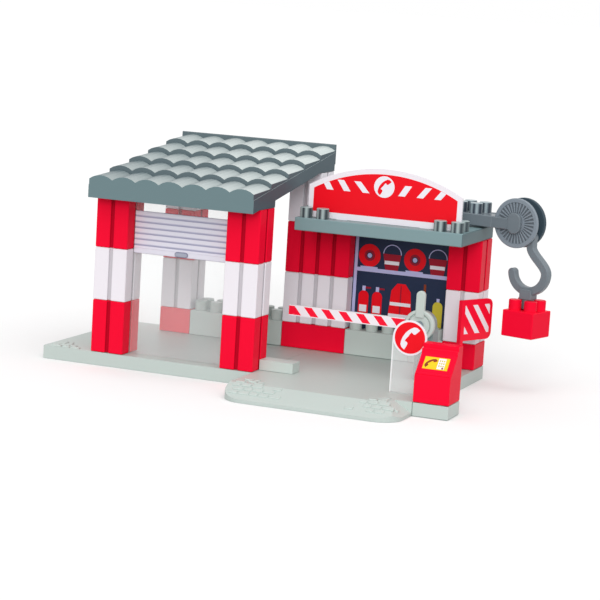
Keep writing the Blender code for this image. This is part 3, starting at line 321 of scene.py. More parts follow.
def upright(x, half, low, high, top_half=None):
    """Four corners about an upright middle line. The top may have its own half width."""
    if top_half is None:
        top_half = half
    return [(x - half, low), (x + half, low), (x + top_half, high), (x - top_half, high)]


def rectangle(left, right, low, high):
    return [(left, low), (right, low), (right, high), (left, high)]


def slab(low, high, edge=EDGE):
    """A box between two corners, with chamfers."""
    return solid(rectangle(low[0], high[0], low[1], high[1]), low[2], high[2], edge=edge)


def circle(centre, radius, sides=40):
    return [(centre[0] + radius * math.cos(math.tau * k / sides),
             centre[1] + radius * math.sin(math.tau * k / sides)) for k in range(sides)]


def arc(centre, radius, start, end, steps):
    """Points of an arc between two angles in degrees."""
    turn = (end - start) / steps
    return [(centre[0] + radius * math.cos(math.radians(start + turn * k)),
             centre[1] + radius * math.sin(math.radians(start + turn * k))) for k in range(steps + 1)]


def rod(centre, radius, low, high, along="z", edge=0.0, sides=40):
    return solid(circle(centre, radius, sides), low, high, along, edge)


def turned(profile, along="z", steps=56):
    """A profile of (radius, height) points spun into a closed round shape."""
    shape = bmesh.new()
    ring = bmesh.ops.create_circle(shape, cap_ends=False, segments=len(profile), radius=1.0)["verts"]
    for vertex, (radius, height) in zip(ring, profile):
        vertex.co = (radius, 0, height)
    bmesh.ops.spin(shape, geom=shape.verts[:] + shape.edges[:], cent=(0, 0, 0), axis=(0, 0, 1),
                   angle=math.tau, steps=steps, use_merge=True)
    bmesh.ops.transform(shape, matrix=AXES[along], verts=shape.verts)
    bmesh.ops.recalc_face_normals(shape, faces=shape.faces)
    return shape


def moved(shape, matrix):
    bmesh.ops.transform(shape, matrix=matrix, verts=shape.verts)
    return shape


def gather(shapes):
    whole = bmesh.new()
    for shape in shapes:
        mesh = bpy.data.meshes.new("shape")
        shape.to_mesh(mesh)
        shape.free()
        whole.from_mesh(mesh)
        bpy.data.meshes.remove(mesh)
    return whole


def show(obj, look):
    """Give an object its one material, with smooth round sides and crisp edges."""
    obj.data.materials.clear()
    obj.data.materials.append(look.material)
    obj.data.shade_smooth()
    obj.data.set_sharp_from_angle(angle=SHARP_SHADING)


def add_piece(name, shapes, look, body, replaces=(), place=None, painted_shade=None):
    """Merge shapes into one object, at a place if one is given.

    The painted shade test takes a face's centre and normal and flags the face for its plastic's painted
    shade.
    """
    whole = gather([moved(shape, place) for shape in shapes] if place else shapes)
    mesh = bpy.data.meshes.new(name)
    whole.to_mesh(mesh)
    whole.free()
    if painted_shade:
        marks = mesh.attributes.new("painted_shade", "FLOAT", "FACE")
        for face in mesh.polygons:
            marks.data[face.index].value = float(painted_shade(face.center, face.normal))
    obj = bpy.data.objects.new(name, mesh)
    bpy.context.scene.collection.objects.link(obj)
    show(obj, look)
    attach(obj, body)
    if replaces:
        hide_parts(*replaces)


def middle(node):
    low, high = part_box(node)
    return (low + high) / 2


# %% [markdown]
# ## Stud blocks
#
# Each block is a hollow shell open below, with round studs. Tall blocks have a notch between each
# two studs on every side, and the faces in the notches and the hollow carry painted shade. A finer
# block takes the place of each CAD block, at the same place and size, so the notches still hold the sheets.

# %% Block shapes
NOTCH_WIDTH = 0.0036
NOTCH_DEPTH = 0.0022
ROOF_OF_BLOCK = 0.0019
BLOCK_GAP = 0.00015
STUD_SUNK = 0.0005
TALL_BLOCK = 0.03
INSIDE_NOTCH, UPRIGHT_FACE = 0.0009, 0.3


def notched_side(half_length, out, studs):
    points = [(-half_length, out)]
    for k in range(1, studs):
        centre = (k - studs / 2) * STUD_PITCH
        points += [(centre - NOTCH_WIDTH / 2, out), (centre - NOTCH_WIDTH / 2, out - NOTCH_DEPTH),
                   (centre + NOTCH_WIDTH / 2, out - NOTCH_DEPTH), (centre + NOTCH_WIDTH / 2, out)]
    return points


def block_outline(columns, rows, fluted):
    half_x = columns * STUD_PITCH / 2 - BLOCK_GAP
    half_y = rows * STUD_PITCH / 2 - BLOCK_GAP
    if not fluted:
        return rectangle(-half_x, half_x, -half_y, half_y)
    along_x = notched_side(half_x, half_y, columns)
    along_y = notched_side(half_y, half_x, rows)
    return ([(a, -b) for a, b in along_x] + [(b, a) for a, b in along_y]
            + [(-a, b) for a, b in along_x] + [(-b, -a) for a, b in along_y])


def studs(cells, top):
    """Round studs with a chamfered rim, standing on a face at height top."""
    return [rod(cell, STUD_RADIUS, top - STUD_SUNK, top + STUD_HEIGHT, edge=FINE_EDGE) for cell in cells]


def grid(columns, rows):
    return [((i + 0.5 - columns / 2) * STUD_PITCH, (j + 0.5 - rows / 2) * STUD_PITCH)
            for i in range(columns) for j in range(rows)]


def shell(outline, height, wall=BLOCK_WALL):
    """An upright solid hollowed from below."""
    shape = solid(outline, 0, height, edge=EDGE)
    under = min(shape.faces, key=lambda f: f.calc_center_median().z)
    bmesh.ops.inset_region(shape, faces=[under], thickness=wall - EDGE, use_even_offset=True)
    made = bmesh.ops.extrude_face_region(shape, geom=[under])["geom"]
    bmesh.ops.translate(shape, verts=[g for g in made if isinstance(g, bmesh.types.BMVert)],
                        vec=(0, 0, height - ROOF_OF_BLOCK))
    loose = [f for f in shape.faces if f.is_valid and f == under]
    if loose:
        bmesh.ops.delete(shape, geom=loose, context="FACES_ONLY")
    bmesh.ops.recalc_face_normals(shape, faces=shape.faces)
    return shape


def block(columns, rows, height, fluted):
    return [shell(block_outline(columns, rows, fluted), height)] + studs(grid(columns, rows), height)


RED_BLOCKS = ["front_left_pillar_bottom", "front_left_pillar_top", "front_right_pillar_bottom",
              "front_right_pillar_top", "rear_left_pillar_brick", "rear_left_pillar_middle",
              "wall_base_brick", "wall_red_block", "right_pillar_brick", "right_pillar_red"]
WHITE_BLOCKS = ["front_left_pillar_middle", "front_right_pillar_middle", "rear_left_pillar_lower",
                "rear_left_pillar_top", "wall_white_block", "roof_support_block", "right_pillar_white"]
GREY_BLOCKS = ["back_wall_brick_long", "back_wall_brick_short", "sill_brick_long", "sill_brick_short",
               "call_box_plate"]
for nodes, look, slot in ((RED_BLOCKS, red, "red"), (WHITE_BLOCKS, white, "white"),
                          (GREY_BLOCKS, pale_grey, "pale_grey")):
    for node in nodes:
        low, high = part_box(node)
        columns = round((high.x - low.x) / STUD_PITCH)
        rows = round((high.y - low.y) / STUD_PITCH)
        height = high.z - low.z - STUD_HEIGHT

        def in_notch(centre, normal, low=low, high=high, top=low.z + height):
            """Whether an upright face lies in from the block's four sides, in a notch or the hollow, where
            it gets painted shade.
            """
            inward = min(centre.x - low.x, high.x - centre.x, centre.y - low.y, high.y - centre.y)
            return abs(normal.z) < UPRIGHT_FACE and inward > INSIDE_NOTCH and centre.z < top

        place = Matrix.Translation(((low.x + high.x) / 2, (low.y + high.y) / 2, low.z))
        add_piece(f"{node}_fine", block(columns, rows, height, height > TALL_BLOCK), look, "station",
                  [node], place, in_notch)
print("blocks:", len(RED_BLOCKS) + len(WHITE_BLOCKS) + len(GREY_BLOCKS))

# %% [markdown]
# ## Base plates
#
# Both plates keep their CAD shape. Low paving stones stand on the station plate's ramp, in
# uneven courses at its two ends, and on the garage plate's front left corner.

# %% Base plates and paving
show(frame["nodes"]["garage_base"], base_grey)
show(frame["nodes"]["station_base"], base_grey)
show(frame["nodes"]["door_kerb"], pale_grey)
base_low, base_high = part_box("station_base")
garage_low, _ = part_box("garage_base")
FLAT_ROWS = 14
RAMP_FRONT, RAMP_BACK = base_low.y, base_high.y - FLAT_ROWS * STUD_PITCH
SIDE_RAMP_BACK = RAMP_BACK + STUD_PITCH
RAMP_FOOT, BASE_TOP = 0.003, 0.012
CORNER, CORNER_MARGIN = 0.021, 0.0055
STONE_RISE, STONE_ROOT, STONE_DEPTH, STONE_GAP = 0.0010, 0.0012, 0.0052, 0.0014
STONE_LEAST, STONE_SPREAD, ROOM_LEAST = 0.0075, 0.0035, 0.005
COURSE = 0.0064
SLOPE_STEP = 0.001


def ground(x, y):
    """Height of the plates' upper face, which falls at the front and at the right front."""
    if x < base_low.x:
        return BASE_TOP
    share = (y - RAMP_FRONT) / (RAMP_BACK - RAMP_FRONT)
    if y < SIDE_RAMP_BACK:
        share = min(share, (base_high.x - x) / STUD_PITCH)
    return RAMP_FOOT + (BASE_TOP - RAMP_FOOT) * min(max(share, 0), 1)


def stone(x, y, wide, lean):
    """One paving stone, let into the plate and leaning with the ground under it."""
    shape = slab((-wide / 2, -STONE_DEPTH / 2, -STONE_ROOT), (wide / 2, STONE_DEPTH / 2, STONE_RISE),
                 FINE_EDGE)
    fall_x = (ground(x + SLOPE_STEP, y) - ground(x - SLOPE_STEP, y)) / (2 * SLOPE_STEP)
    fall_y = (ground(x, y + SLOPE_STEP) - ground(x, y - SLOPE_STEP)) / (2 * SLOPE_STEP)
    up = Vector((-fall_x, -fall_y, 1)).normalized()
    turn = Vector((0, 0, 1)).rotation_difference(up).to_matrix().to_4x4() @ Matrix.Rotation(lean, 4, "Z")
    return moved(shape, Matrix.Translation((x, y, ground(x, y))) @ turn)


def on_plate(x, y):
    """Whether a stone fits inside the plate's round front corners."""
    beyond = max(base_low.x + CORNER - x, x - (base_high.x - CORNER), 0)
    before = max(base_low.y + CORNER - y, 0)
    return x < base_low.x or math.hypot(beyond, before) < CORNER - CORNER_MARGIN


def uneven(count, factor, limit):
    """A whole number below the limit that jumps about as count goes up."""
    return count * factor % limit


def course(y, left, right, seed):
    """One row of stones with uneven lengths and a small gap between them."""
    stones = []
    x = left + 0.003 * uneven(seed, 7, 3) / 2
    k = seed
    while x < right - ROOM_LEAST:
        wide = min(STONE_LEAST + STONE_SPREAD * uneven(k, 37, 11) / 10, right - x)
        if uneven(k, 29, 13) > 1 and on_plate(x + wide / 2, y):
            lean = math.radians(uneven(k, 53, 7) - 3)
            stones.append(stone(x + wide / 2, y, wide - STONE_GAP, lean))
        x += wide
        k += 1
    return stones


# Each field: the first course's Y, the number of courses, the first course's left and right end,
# how far each end moves in with every course, and the seed.
paving = []
for first, courses, left, right, left_in, right_in, seed in (
        (RAMP_FRONT + 0.0045, 4, base_low.x + 0.004, base_low.x + 0.062, 0, 0.004, 3),
        (RAMP_FRONT + 0.0045, 4, base_high.x - 0.052, base_high.x - 0.003, 0.003, 0, 11),
        (RAMP_BACK + 0.0035, 3, base_low.x + 0.004, base_low.x + 0.034, 0, 0.006, 21),
        (RAMP_BACK + 0.0035, 3, base_high.x - 0.036, base_high.x - 0.017, 0.005, 0, 31),
        (garage_low.y + 0.0045, 4, garage_low.x + 0.003, garage_low.x + 0.040, 0, 0.007, 41)):
    for k in range(courses):
        paving += course(first + COURSE * k, left + left_in * k, right - right_in * k, k + seed)
print("paving stones:", len(paving))
add_piece("paving_stones", paving, base_grey, "station")

# %% [markdown]
# ## Garage roof
#
# The tiles keep their CAD shape. Painted light and shade run over their upper faces from dark at the
# near left to pale at the far right, and each tile is painted paler on its right side and darker
# towards the lip above it, with a painted shadow at that lip. The skirt has painted shade at its
# sides, so it is darker there than at its front, and the tiles' lips lie between the two.

# %% Garage roof
ROOF_PAINTED_SHADE, ROOF_FRONT, ROOF_LIP = (0.070, 0.105, 0.125), (0.150, 0.220, 0.235), (0.125, 0.165, 0.180)
TILE_LIGHT, TILE_SHADE = (0.60, 0.66, 0.65), (0.105, 0.15, 0.165)
TILE_ROWS = 5
FASCIA_END = 0.3
ROW_NUDGE, LIP_PAINTED_SHADOW = 0.002, 0.04
TURNED_WEIGHT, FAR_WEIGHT, ALONG_WEIGHT, PAINTED_DIMMING = 0.66, 0.84, 0.36, 0.16
SIDEWAYS_SHARE, BACKWARD_SHARE = 0.6, 0.4
roof_low, roof_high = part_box("garage_roof")
roof_look = plastic("roof plastic", ROOF_PAINTED_SHADE, 0.34, index=1.15)
facing_x, facing_y, facing_z = roof_look.facing()
x, y, z = roof_look.place()
row = (y - roof_low.y) / ((roof_high.y - roof_low.y) / TILE_ROWS)
along_tile = (row + ROW_NUDGE).fraction()
# Painted shade: the skirt's side faces are darker than its front faces.
front_faces = roof_look.mix(row.below(FASCIA_END), ROOF_LIP, ROOF_FRONT)
skirt = roof_look.mix((facing_y * -1.0).share(0.3, 0.8), ROOF_PAINTED_SHADE, front_faces)
# Painted light and shade on the tile tops: paler where they face right and lie far right and back, darker
# towards the lip above, with a painted shadow at the back of each row under the next lip.
far_right = ((x - roof_low.x) / (roof_high.x - roof_low.x) * SIDEWAYS_SHARE
             + row * (BACKWARD_SHARE / TILE_ROWS))
painted_light_share = (facing_x.share(-0.65, 0.45) * TURNED_WEIGHT + far_right * FAR_WEIGHT
               - along_tile * ALONG_WEIGHT - PAINTED_DIMMING)
painted_lit_tiles = roof_look.mix(painted_light_share.share(0.0, 1.0), TILE_SHADE, TILE_LIGHT)
tiles = roof_look.mix(along_tile.above(1 - LIP_PAINTED_SHADOW), painted_lit_tiles, ROOF_PAINTED_SHADE)
roof_look.set("Base Color", roof_look.mix(facing_z.share(0.35, 0.80), skirt, tiles))
show(frame["nodes"]["garage_roof"], roof_look)

# %% [markdown]
# ## Garage door
#
# A clear sheet fills the whole opening. The rolled-down shutter is moulded white in front of its
# upper part, with seven slats, a bottom bar and an oval handle.

# %% Garage door sheet and shutter
door_low, door_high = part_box("garage_door_panel")
SHEET, SHEET_EDGE = 0.0016, 0.0002
sheet_y = middle("front_left_pillar_bottom").y
clear_look = Look("clear sheet", (0.88, 0.92, 0.92), 0.08, coat=0.3, alpha=0.16)
HAZE = 18.0
clear_look.set("Alpha", clear_look.noise(HAZE) * 0.05 + 0.11)
add_piece("door_sheet", [slab((door_low.x, sheet_y - SHEET / 2, door_low.z),
                              (door_high.x, sheet_y + SHEET / 2, door_high.z), SHEET_EDGE)],
          clear_look, "station", ["garage_door_panel"])
SHUTTER_MARGIN = 0.0023
SHUTTER_LEFT, SHUTTER_RIGHT = door_low.x + SHUTTER_MARGIN, door_high.x - SHUTTER_MARGIN
SHUTTER_LOW, SHUTTER_HIGH = BASE_TOP + 0.0945, BASE_TOP + 0.1310
SLATS = 7
SLAT_ROOT, SLAT_FOOT, SLAT_FACE, SLAT_BELLY = 0.0001, 0.0007, 0.0012, 0.0014
face_y = sheet_y - SHEET / 2
slat = (SHUTTER_HIGH - SHUTTER_LOW) / SLATS
profile = [(face_y - SLAT_ROOT, SHUTTER_HIGH), (face_y - SLAT_ROOT, SHUTTER_LOW)]
for k in range(SLATS):
    foot = SHUTTER_LOW + slat * k
    profile += [(face_y - SLAT_FOOT, foot), (face_y - SLAT_FACE, foot + 0.0006),
                (face_y - SLAT_BELLY, foot + slat / 2), (face_y - SLAT_FACE, foot + slat - 0.0004)]
profile.append((face_y - SLAT_FOOT, SHUTTER_HIGH))
# Painted shade lies in the crease at each joint between slats, reaching further up the slat above than down
# the one below.
SLAT_CREASE_SHADE = (0.40, 0.40, 0.54)
slat_look = plastic("slat plastic", SHUTTER_COLOUR, 0.34, mottle=0.02)
x, y, z = slat_look.place()
up_slat = ((z - SHUTTER_LOW) / slat).fraction()
shade = up_slat.share(0.42, 0.10, interpolation_type="SMOOTHSTEP") + up_slat.share(0.92, 1.0)
slat_look.set("Base Color", slat_look.mix(shade, SHUTTER_COLOUR, SLAT_CREASE_SHADE))
add_piece("shutter", [solid(profile, SHUTTER_LEFT, SHUTTER_RIGHT, "x")], slat_look, "station")
BAR, BAR_PROUD = 0.0050, 0.0022
bar_low = SHUTTER_LOW - 0.0018
add_piece("shutter_bar", [slab((SHUTTER_LEFT, face_y - BAR_PROUD, bar_low),
                               (SHUTTER_RIGHT, face_y, bar_low + BAR))], shutter_white, "station")
door_middle = (SHUTTER_LEFT + SHUTTER_RIGHT) / 2
HANDLE_HALF, HANDLE_RADIUS, HANDLE_RIM = 0.0041, 0.0024, 0.0006
HANDLE_PROUD, RIM_PROUD = 0.0036, 0.0030


def handle_outline(radius):
    """An oval with round ends on the shutter's bottom bar."""
    return (arc((door_middle + HANDLE_HALF, bar_low + BAR / 2), radius, -90, 90, 12)
            + arc((door_middle - HANDLE_HALF, bar_low + BAR / 2), radius, 90, 270, 12))


add_piece("shutter_handle_edge", [solid(handle_outline(HANDLE_RADIUS), face_y - RIM_PROUD, face_y, "y",
                                        edge=0.0003)], handle_edge, "station")
add_piece("shutter_handle", [solid(handle_outline(HANDLE_RADIUS - HANDLE_RIM), face_y - HANDLE_PROUD,
                                   face_y, "y", edge=0.0004)], handle_grey, "station")

# %% [markdown]
# ## Prints
#
# Prints are flat shapes a tenth of a millimetre proud of their sheet, in layers that overlap a
# little. `handset` draws the common telephone sign: an arc with two lobes that point inwards.

# %% Print helpers
PRINT, LAYER_OVERLAP = 0.00012, 0.9
INK_GLOSS, INK_INDEX, INK_SPOTS, INK_TONE = 0.30, 1.2, 60.0, 0.96


def ink(name, colour):
    look = Look(name, colour, INK_GLOSS)
    look.set("IOR", INK_INDEX)
    look.set("Base Color", look.mix(look.noise(INK_SPOTS), tuple(c * INK_TONE for c in colour), colour))
    return look


ink_red = ink("red ink", (0.84, 0.006, 0.016))
ink_white = ink("white ink", (0.84, 0.82, 0.88))
ink_lavender = ink("lavender ink", (0.50, 0.50, 0.78))
ink_navy = ink("navy ink", (0.022, 0.034, 0.075))
ink_maroon = ink("dark red ink", (0.36, 0.012, 0.030))
ink_yellow = ink("yellow ink", (0.62, 0.52, 0.05))
ink_orange = ink("orange ink", (0.94, 0.58, 0.02))
ink_brown = ink("brown ink", (0.26, 0.05, 0.02))


def printed(outlines, face, layer=1):
    """Flat shapes on a face that looks to -Y, in the given layer of ink."""
    return [solid(o, face - PRINT * layer, face - PRINT * (layer - 1) * LAYER_OVERLAP, "y")
            for o in outlines]


# Half of a telephone handset with a length of 1: from the middle of its back round one end.
HANDSET_HALF = [(-0.372, 0), (-0.360, 0.15), (-0.325, 0.28), (-0.255, 0.43), (-0.155, 0.495), (0, 0.50),
                (-0.020, 0.34), (-0.045, 0.24), (-0.090, 0.205), (-0.205, 0.22), (-0.215, 0.12),
                (-0.205, 0)]
HANDSET_SHIFT = 0.12


def handset(centre, size, tilt):
    """Outline of a telephone handset about its middle. Size is its length and tilt turns it."""
    other_half = [(across, -along) for across, along in HANDSET_HALF[::-1] if along]
    turn = Matrix.Rotation(math.radians(tilt), 2)
    return [tuple(Vector(centre) + turn @ Vector((across + HANDSET_SHIFT, along)) * size)
            for across, along in HANDSET_HALF + other_half]


# %% [markdown]
# ## Office window panel
#
# A navy sheet with a pale frame and a shelf. The fire gear on it is a plain design: hose reels and
# buckets above, and extinguishers, a coat, a shovel and an air bottle below.

# %% Office window panel
show(frame["nodes"]["equipment_panel"], ink_navy)
panel_low, panel_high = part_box("equipment_panel")
panel_face = panel_low.y
PANEL_MARGIN, STRIP, HEAD_STRIP, SHELF = 0.0020, 0.0030, 0.002, 0.0036
left_x, right_x = panel_low.x + PANEL_MARGIN, panel_high.x - PANEL_MARGIN
bottom_z, top_z = panel_low.z, panel_high.z
shelf_z = BASE_TOP + 0.0785
inside = left_x + STRIP
room = right_x - STRIP - inside
PANEL_INKS = {"red": (ink_red, 1), "lavender": (ink_lavender, 2), "dark_red": (ink_maroon, 3),
              "yellow": (ink_yellow, 4), "brown": (ink_brown, 4), "white": (ink_white, 5)}
panel = {name: [] for name in PANEL_INKS}
panel["lavender"] += [rectangle(left_x, inside, bottom_z, top_z),
                      rectangle(right_x - STRIP, right_x, bottom_z, top_z),
                      rectangle(inside, right_x - STRIP, shelf_z, shelf_z + SHELF),
                      rectangle(inside, right_x - STRIP, top_z - HEAD_STRIP, top_z)]


def bottle(x, foot, half, height):
    """An upright shape with a domed top."""
    return [(x - half, foot), (x + half, foot)] + arc((x, foot + height - half), half, 0, 180, 12)


def half_ring(x, z, outer, inner, start=0):
    """Half of a flat ring. It is the upper half if it starts at 0 degrees."""
    return arc((x, z), outer, start, start + 180, 18) + arc((x, z), inner, start + 180, start, 18)


REEL, REEL_MIDDLE, REEL_GAP, REEL_HUB, REEL_PIN = 0.0108, 0.0052, 0.0050, 0.0032, 0.0022
REEL_HEIGHT, REEL_FOOT, FOOT_RISE = 0.0118, 0.0085, 0.0014
PAIL_FOOT, PAIL_RIM, PAIL_HEIGHT, PAIL_WIRE, WIRE_INSIDE = 0.0062, 0.0090, 0.0150, 0.0092, 0.0083
PAIL_BAND, PAIL_BAND_LOW, PAIL_BAND_HIGH = 0.0072, 0.0052, 0.0086
shelf_top = shelf_z + SHELF
reel_and_pail = [inside + room * share for share in (0.13, 0.38, 0.63, 0.88)]
for x in reel_and_pail[::2]:
    hub_z = shelf_top + REEL_HEIGHT
    panel["red"] += [half_ring(x, hub_z, REEL, REEL_MIDDLE, start) for start in (0, 180)]
    panel["dark_red"] += [half_ring(x, hub_z, REEL_GAP, REEL_HUB, start) for start in (0, 180)]
    panel["lavender"] += [circle((x, hub_z), REEL_PIN, 20),
                          upright(x, REEL_FOOT, shelf_top, shelf_top + FOOT_RISE)]
for x in reel_and_pail[1::2]:
    panel["dark_red"].append(upright(x, PAIL_FOOT, shelf_top, shelf_top + PAIL_HEIGHT, PAIL_RIM))
    panel["white"].append(upright(x, PAIL_BAND, shelf_top + PAIL_BAND_LOW, shelf_top + PAIL_BAND_HIGH))
    panel["lavender"].append(half_ring(x, shelf_top + PAIL_HEIGHT, PAIL_WIRE, WIRE_INSIDE))

*extinguishers, coat, shovel, air = [inside + room * share for share in (0.09, 0.24, 0.50, 0.76, 0.91)]
foot = bottom_z + 0.006


def standing(x, half, low, high):
    """A rectangle about an upright middle line, by its two heights above the gear's foot."""
    return upright(x, half, foot + low, foot + high)


for x in extinguishers:
    panel["red"].append(bottle(x, foot, 0.0050, 0.0300))
    panel["lavender"].append(standing(x, 0.0016, 0.0300, 0.0345))
    panel["white"].append(standing(x, 0.0036, 0.0100, 0.0165))
    panel["dark_red"].append(standing(x + 0.0043, 0.0027, 0.0322, 0.0338))
# The coat's right-hand corners, as distance from its middle line and height. The left is its mirror.
coat_side = [(0.0125, 0.0), (0.0095, 0.0330), (0.0040, 0.0400)]
panel["red"].append([(coat - coat_side[0][0], foot)] + [(coat + a, foot + b) for a, b in coat_side]
                    + [(coat - a, foot + b) for a, b in coat_side[:0:-1]])
panel["white"] += [standing(coat, 0.0112, 0.0080, 0.0112), standing(coat, 0.0102, 0.0190, 0.0222)]
panel["yellow"].append(standing(coat, 0.0114, 0.0062, 0.0078))
panel["dark_red"].append(standing(coat, 0.0006, 0, 0.0380))
panel["brown"].append(standing(shovel, 0.0011, 0.0120, 0.0420))
panel["lavender"].append([(shovel + a, foot + b) for a, b in (
    (-0.0055, 0.0140), (-0.0048, 0.0030), (0, 0), (0.0048, 0.0030), (0.0055, 0.0140))])
panel["yellow"].append(bottle(air, foot, 0.0048, 0.0270))
panel["lavender"].append(standing(air, 0.0014, 0.0265, 0.0300))
panel["dark_red"].append(standing(air, 0.0048, 0.0100, 0.0122))
for name, (look, layer) in PANEL_INKS.items():
    add_piece(f"panel_{name}", printed(panel[name], panel_face, layer), look, "station")
print("panel shapes:", sum(len(outlines) for outlines in panel.values()))

# %% [markdown]
# ## Canopy and sign
#
# The canopy plate is a wide shell with stiffening ribs and studs near its two ends. The sign is
# white with a red field, white stripes and the handset in a white disc. Its lower part is bare.

# %% Canopy plate
plate_low, plate_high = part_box("roof_plate")
plate_top = plate_high.z - STUD_HEIGHT
plate_depth = plate_top - plate_low.z
half_x = (plate_high.x - plate_low.x) / 2
half_y = (plate_high.y - plate_low.y) / 2
FIRST_STUD, RIB_HALF, RIB_SHORT = 0.00785, 0.0008, 0.001
RIBS_ACROSS, RIBS_ALONG = 5, 3
plate_cells = [(side * (half_x - offset), -half_y + row) for side in (-1, 1)
               for offset in (FIRST_STUD, FIRST_STUD + STUD_PITCH) for row in (0.008, 0.024)]
plate_shapes = [shell(rectangle(-half_x, half_x, -half_y, half_y), plate_depth)]
for k in range(1, RIBS_ACROSS):
    x = -half_x + 2 * half_x * k / RIBS_ACROSS
    plate_shapes.append(slab((x - RIB_HALF, -half_y + RIB_SHORT, RIB_SHORT),
                             (x + RIB_HALF, half_y - RIB_SHORT, plate_depth - RIB_SHORT), 0))
for k in range(1, RIBS_ALONG):
    y = -half_y + 2 * half_y * k / RIBS_ALONG
    plate_shapes.append(slab((-half_x + RIB_SHORT, y - RIB_HALF, RIB_SHORT),
                             (half_x - RIB_SHORT, y + RIB_HALF, plate_depth - RIB_SHORT), 0))
plate_middle = middle("roof_plate")
place = Matrix.Translation((plate_middle.x, plate_middle.y, plate_low.z))
add_piece("canopy_fine", plate_shapes, canopy_grey, "station", ["roof_plate"], place)
add_piece("canopy_studs", studs(plate_cells, plate_depth), canopy_stud_sheen, "station", (), place)

# %% Arched sign
show(frame["nodes"]["arched_sign"], white)
sign_low, sign_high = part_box("arched_sign")
sign_face = sign_low.y
sign_half = (sign_high.x - sign_low.x) / 2
sign_x = (sign_low.x + sign_high.x) / 2
sign_foot = plate_top + 0.0003
SIGN_SIDE, SIGN_TOP, BORDER = 0.0295, 0.0490, 0.0046
rise = SIGN_TOP - SIGN_SIDE
arch_radius = (sign_half ** 2 + rise ** 2) / (2 * rise)
arch_centre = (sign_x, sign_foot + SIGN_TOP - arch_radius)
field_half = sign_half - BORDER
field_radius = arch_radius - BORDER
field_reach = math.degrees(math.asin(field_half / field_radius))
field_foot = sign_foot + BORDER + 0.001
field = arc(arch_centre, field_radius, 90 - field_reach, 90 + field_reach, 40)
field += [(sign_x - field_half, field_foot), (sign_x + field_half, field_foot)]
disc_centre, DISC = (sign_x - 0.001, sign_foot + 0.0332), 0.0097
BAND_LOW, BAND_HIGH = disc_centre[1] - 0.0069, disc_centre[1] + 0.0028
# Each stripe's place along the sign: its top's left and right end, then its foot's.
STRIPES = ((-0.0300, -0.0236, -0.0212, -0.0148), (-0.0462, -0.0398, -0.0394, -0.0330),
           (-0.0620, -0.0556, -0.0558, -0.0494), (0.0188, 0.0252, 0.0126, 0.0190),
           (0.0378, 0.0440, 0.0300, 0.0362), (0.0542, 0.0606, 0.0466, 0.0528))


def stripe_side(top, foot):
    """The lower and upper end of a stripe's side. The red field's edge cuts the upper end off."""
    for k in range(101):
        share = 1 - k / 100
        x, z = sign_x + foot + (top - foot) * share, BAND_LOW + (BAND_HIGH - BAND_LOW) * share
        if math.hypot(x - arch_centre[0], z - arch_centre[1]) < field_radius:
            return [(sign_x + foot, BAND_LOW), (x, z)]


stripes = [stripe_side(left_top, left_foot) + stripe_side(right_top, right_foot)[::-1]
           for left_top, right_top, left_foot, right_foot in STRIPES]
add_piece("sign_field", printed([field], sign_face), ink_red, "station")
add_piece("sign_stripes", printed(stripes + [circle(disc_centre, DISC, 48)], sign_face, 2), ink_white,
          "station")
add_piece("sign_handset", printed([handset(disc_centre, 0.0164, -39)], sign_face, 3),
          ink_red, "station")

# %% [markdown]
# ## Round sign and call box
#
# The round sign is printed on a clear sheet with a painted highlight along the lower part of its left
# edge. The call box has a sloped front with raised rails, and a yellow label with a handset and a keypad on
# the slope.

# %% Round sign
round_low, round_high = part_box("round_sign_sheet")
EDGE_HIGHLIGHT_WIDTH = 0.0008
RING, FIELD = 0.0153, 0.0136
round_face = round_low.y
round_half = (round_high.x - round_low.x) / 2
disc = ((round_low.x + round_high.x) / 2, round_high.z - round_half)
sheet_look = Look("clear sign sheet", (0.92, 0.95, 0.96), 0.08, coat=0.3, alpha=0.16)
x, y, z = sheet_look.place()
# Painted highlight: the sheet is less clear in a thin strip along its left edge, below the disc's middle.
painted_edge_highlight = x.below(round_low.x + EDGE_HIGHLIGHT_WIDTH) * z.below(disc[1])
sheet_look.set("Alpha", sheet_look.noise(HAZE) * 0.05 + painted_edge_highlight * 0.55 + 0.22)
show(frame["nodes"]["round_sign_sheet"], sheet_look)
add_piece("round_sign_ring", printed([circle(disc, RING, 56)], round_face), ink_white, "station")
add_piece("round_sign_disc", printed([circle(disc, FIELD, 56)], round_face, 2), ink_red, "station")
add_piece("round_sign_handset", printed([handset(disc, 0.0223, -36.5)], round_face, 3),
          ink_white, "station")

# %% Call box
box_low, box_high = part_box("call_box")
BROW_DEPTH, BROW_HEIGHT, SLOPE_FOOT, SLOPE_DROP = 0.003, 0.004, 0.0235, 0.0080
brow_y = box_low.y + STUD_PITCH - BLOCK_GAP
brow_z = box_high.z - BROW_HEIGHT
slope_low = Vector((0, box_low.y, BASE_TOP + SLOPE_FOOT))
slope_high = Vector((0, brow_y, box_high.z - SLOPE_DROP))
profile = [(box_low.y, box_low.z), (box_high.y, box_low.z), (box_high.y, box_high.z),
           (brow_y + BROW_DEPTH, box_high.z), (brow_y + BROW_DEPTH, brow_z), (brow_y, brow_z),
           (slope_high.y, slope_high.z), (slope_low.y, slope_low.z)]
length = (slope_high - slope_low).length
along = (slope_high - slope_low).normalized()
out = Vector((1, 0, 0)).cross(along).normalized()
if out.y > 0:
    out = -out
box_x = (box_low.x + box_high.x) / 2
half = (box_high.x - box_low.x) / 2
SLOPE = Matrix(((1, 0, 0, box_x), (0, along.y, out.y, slope_low.y), (0, along.z, out.z, slope_low.z),
                (0, 0, 0, 1)))
RAIL_OUT, RAIL_IN, RAIL_FOOT, RAIL_ROOT, RAIL_RISE = 0.0004, 0.0026, 0.0010, -0.001, 0.0008
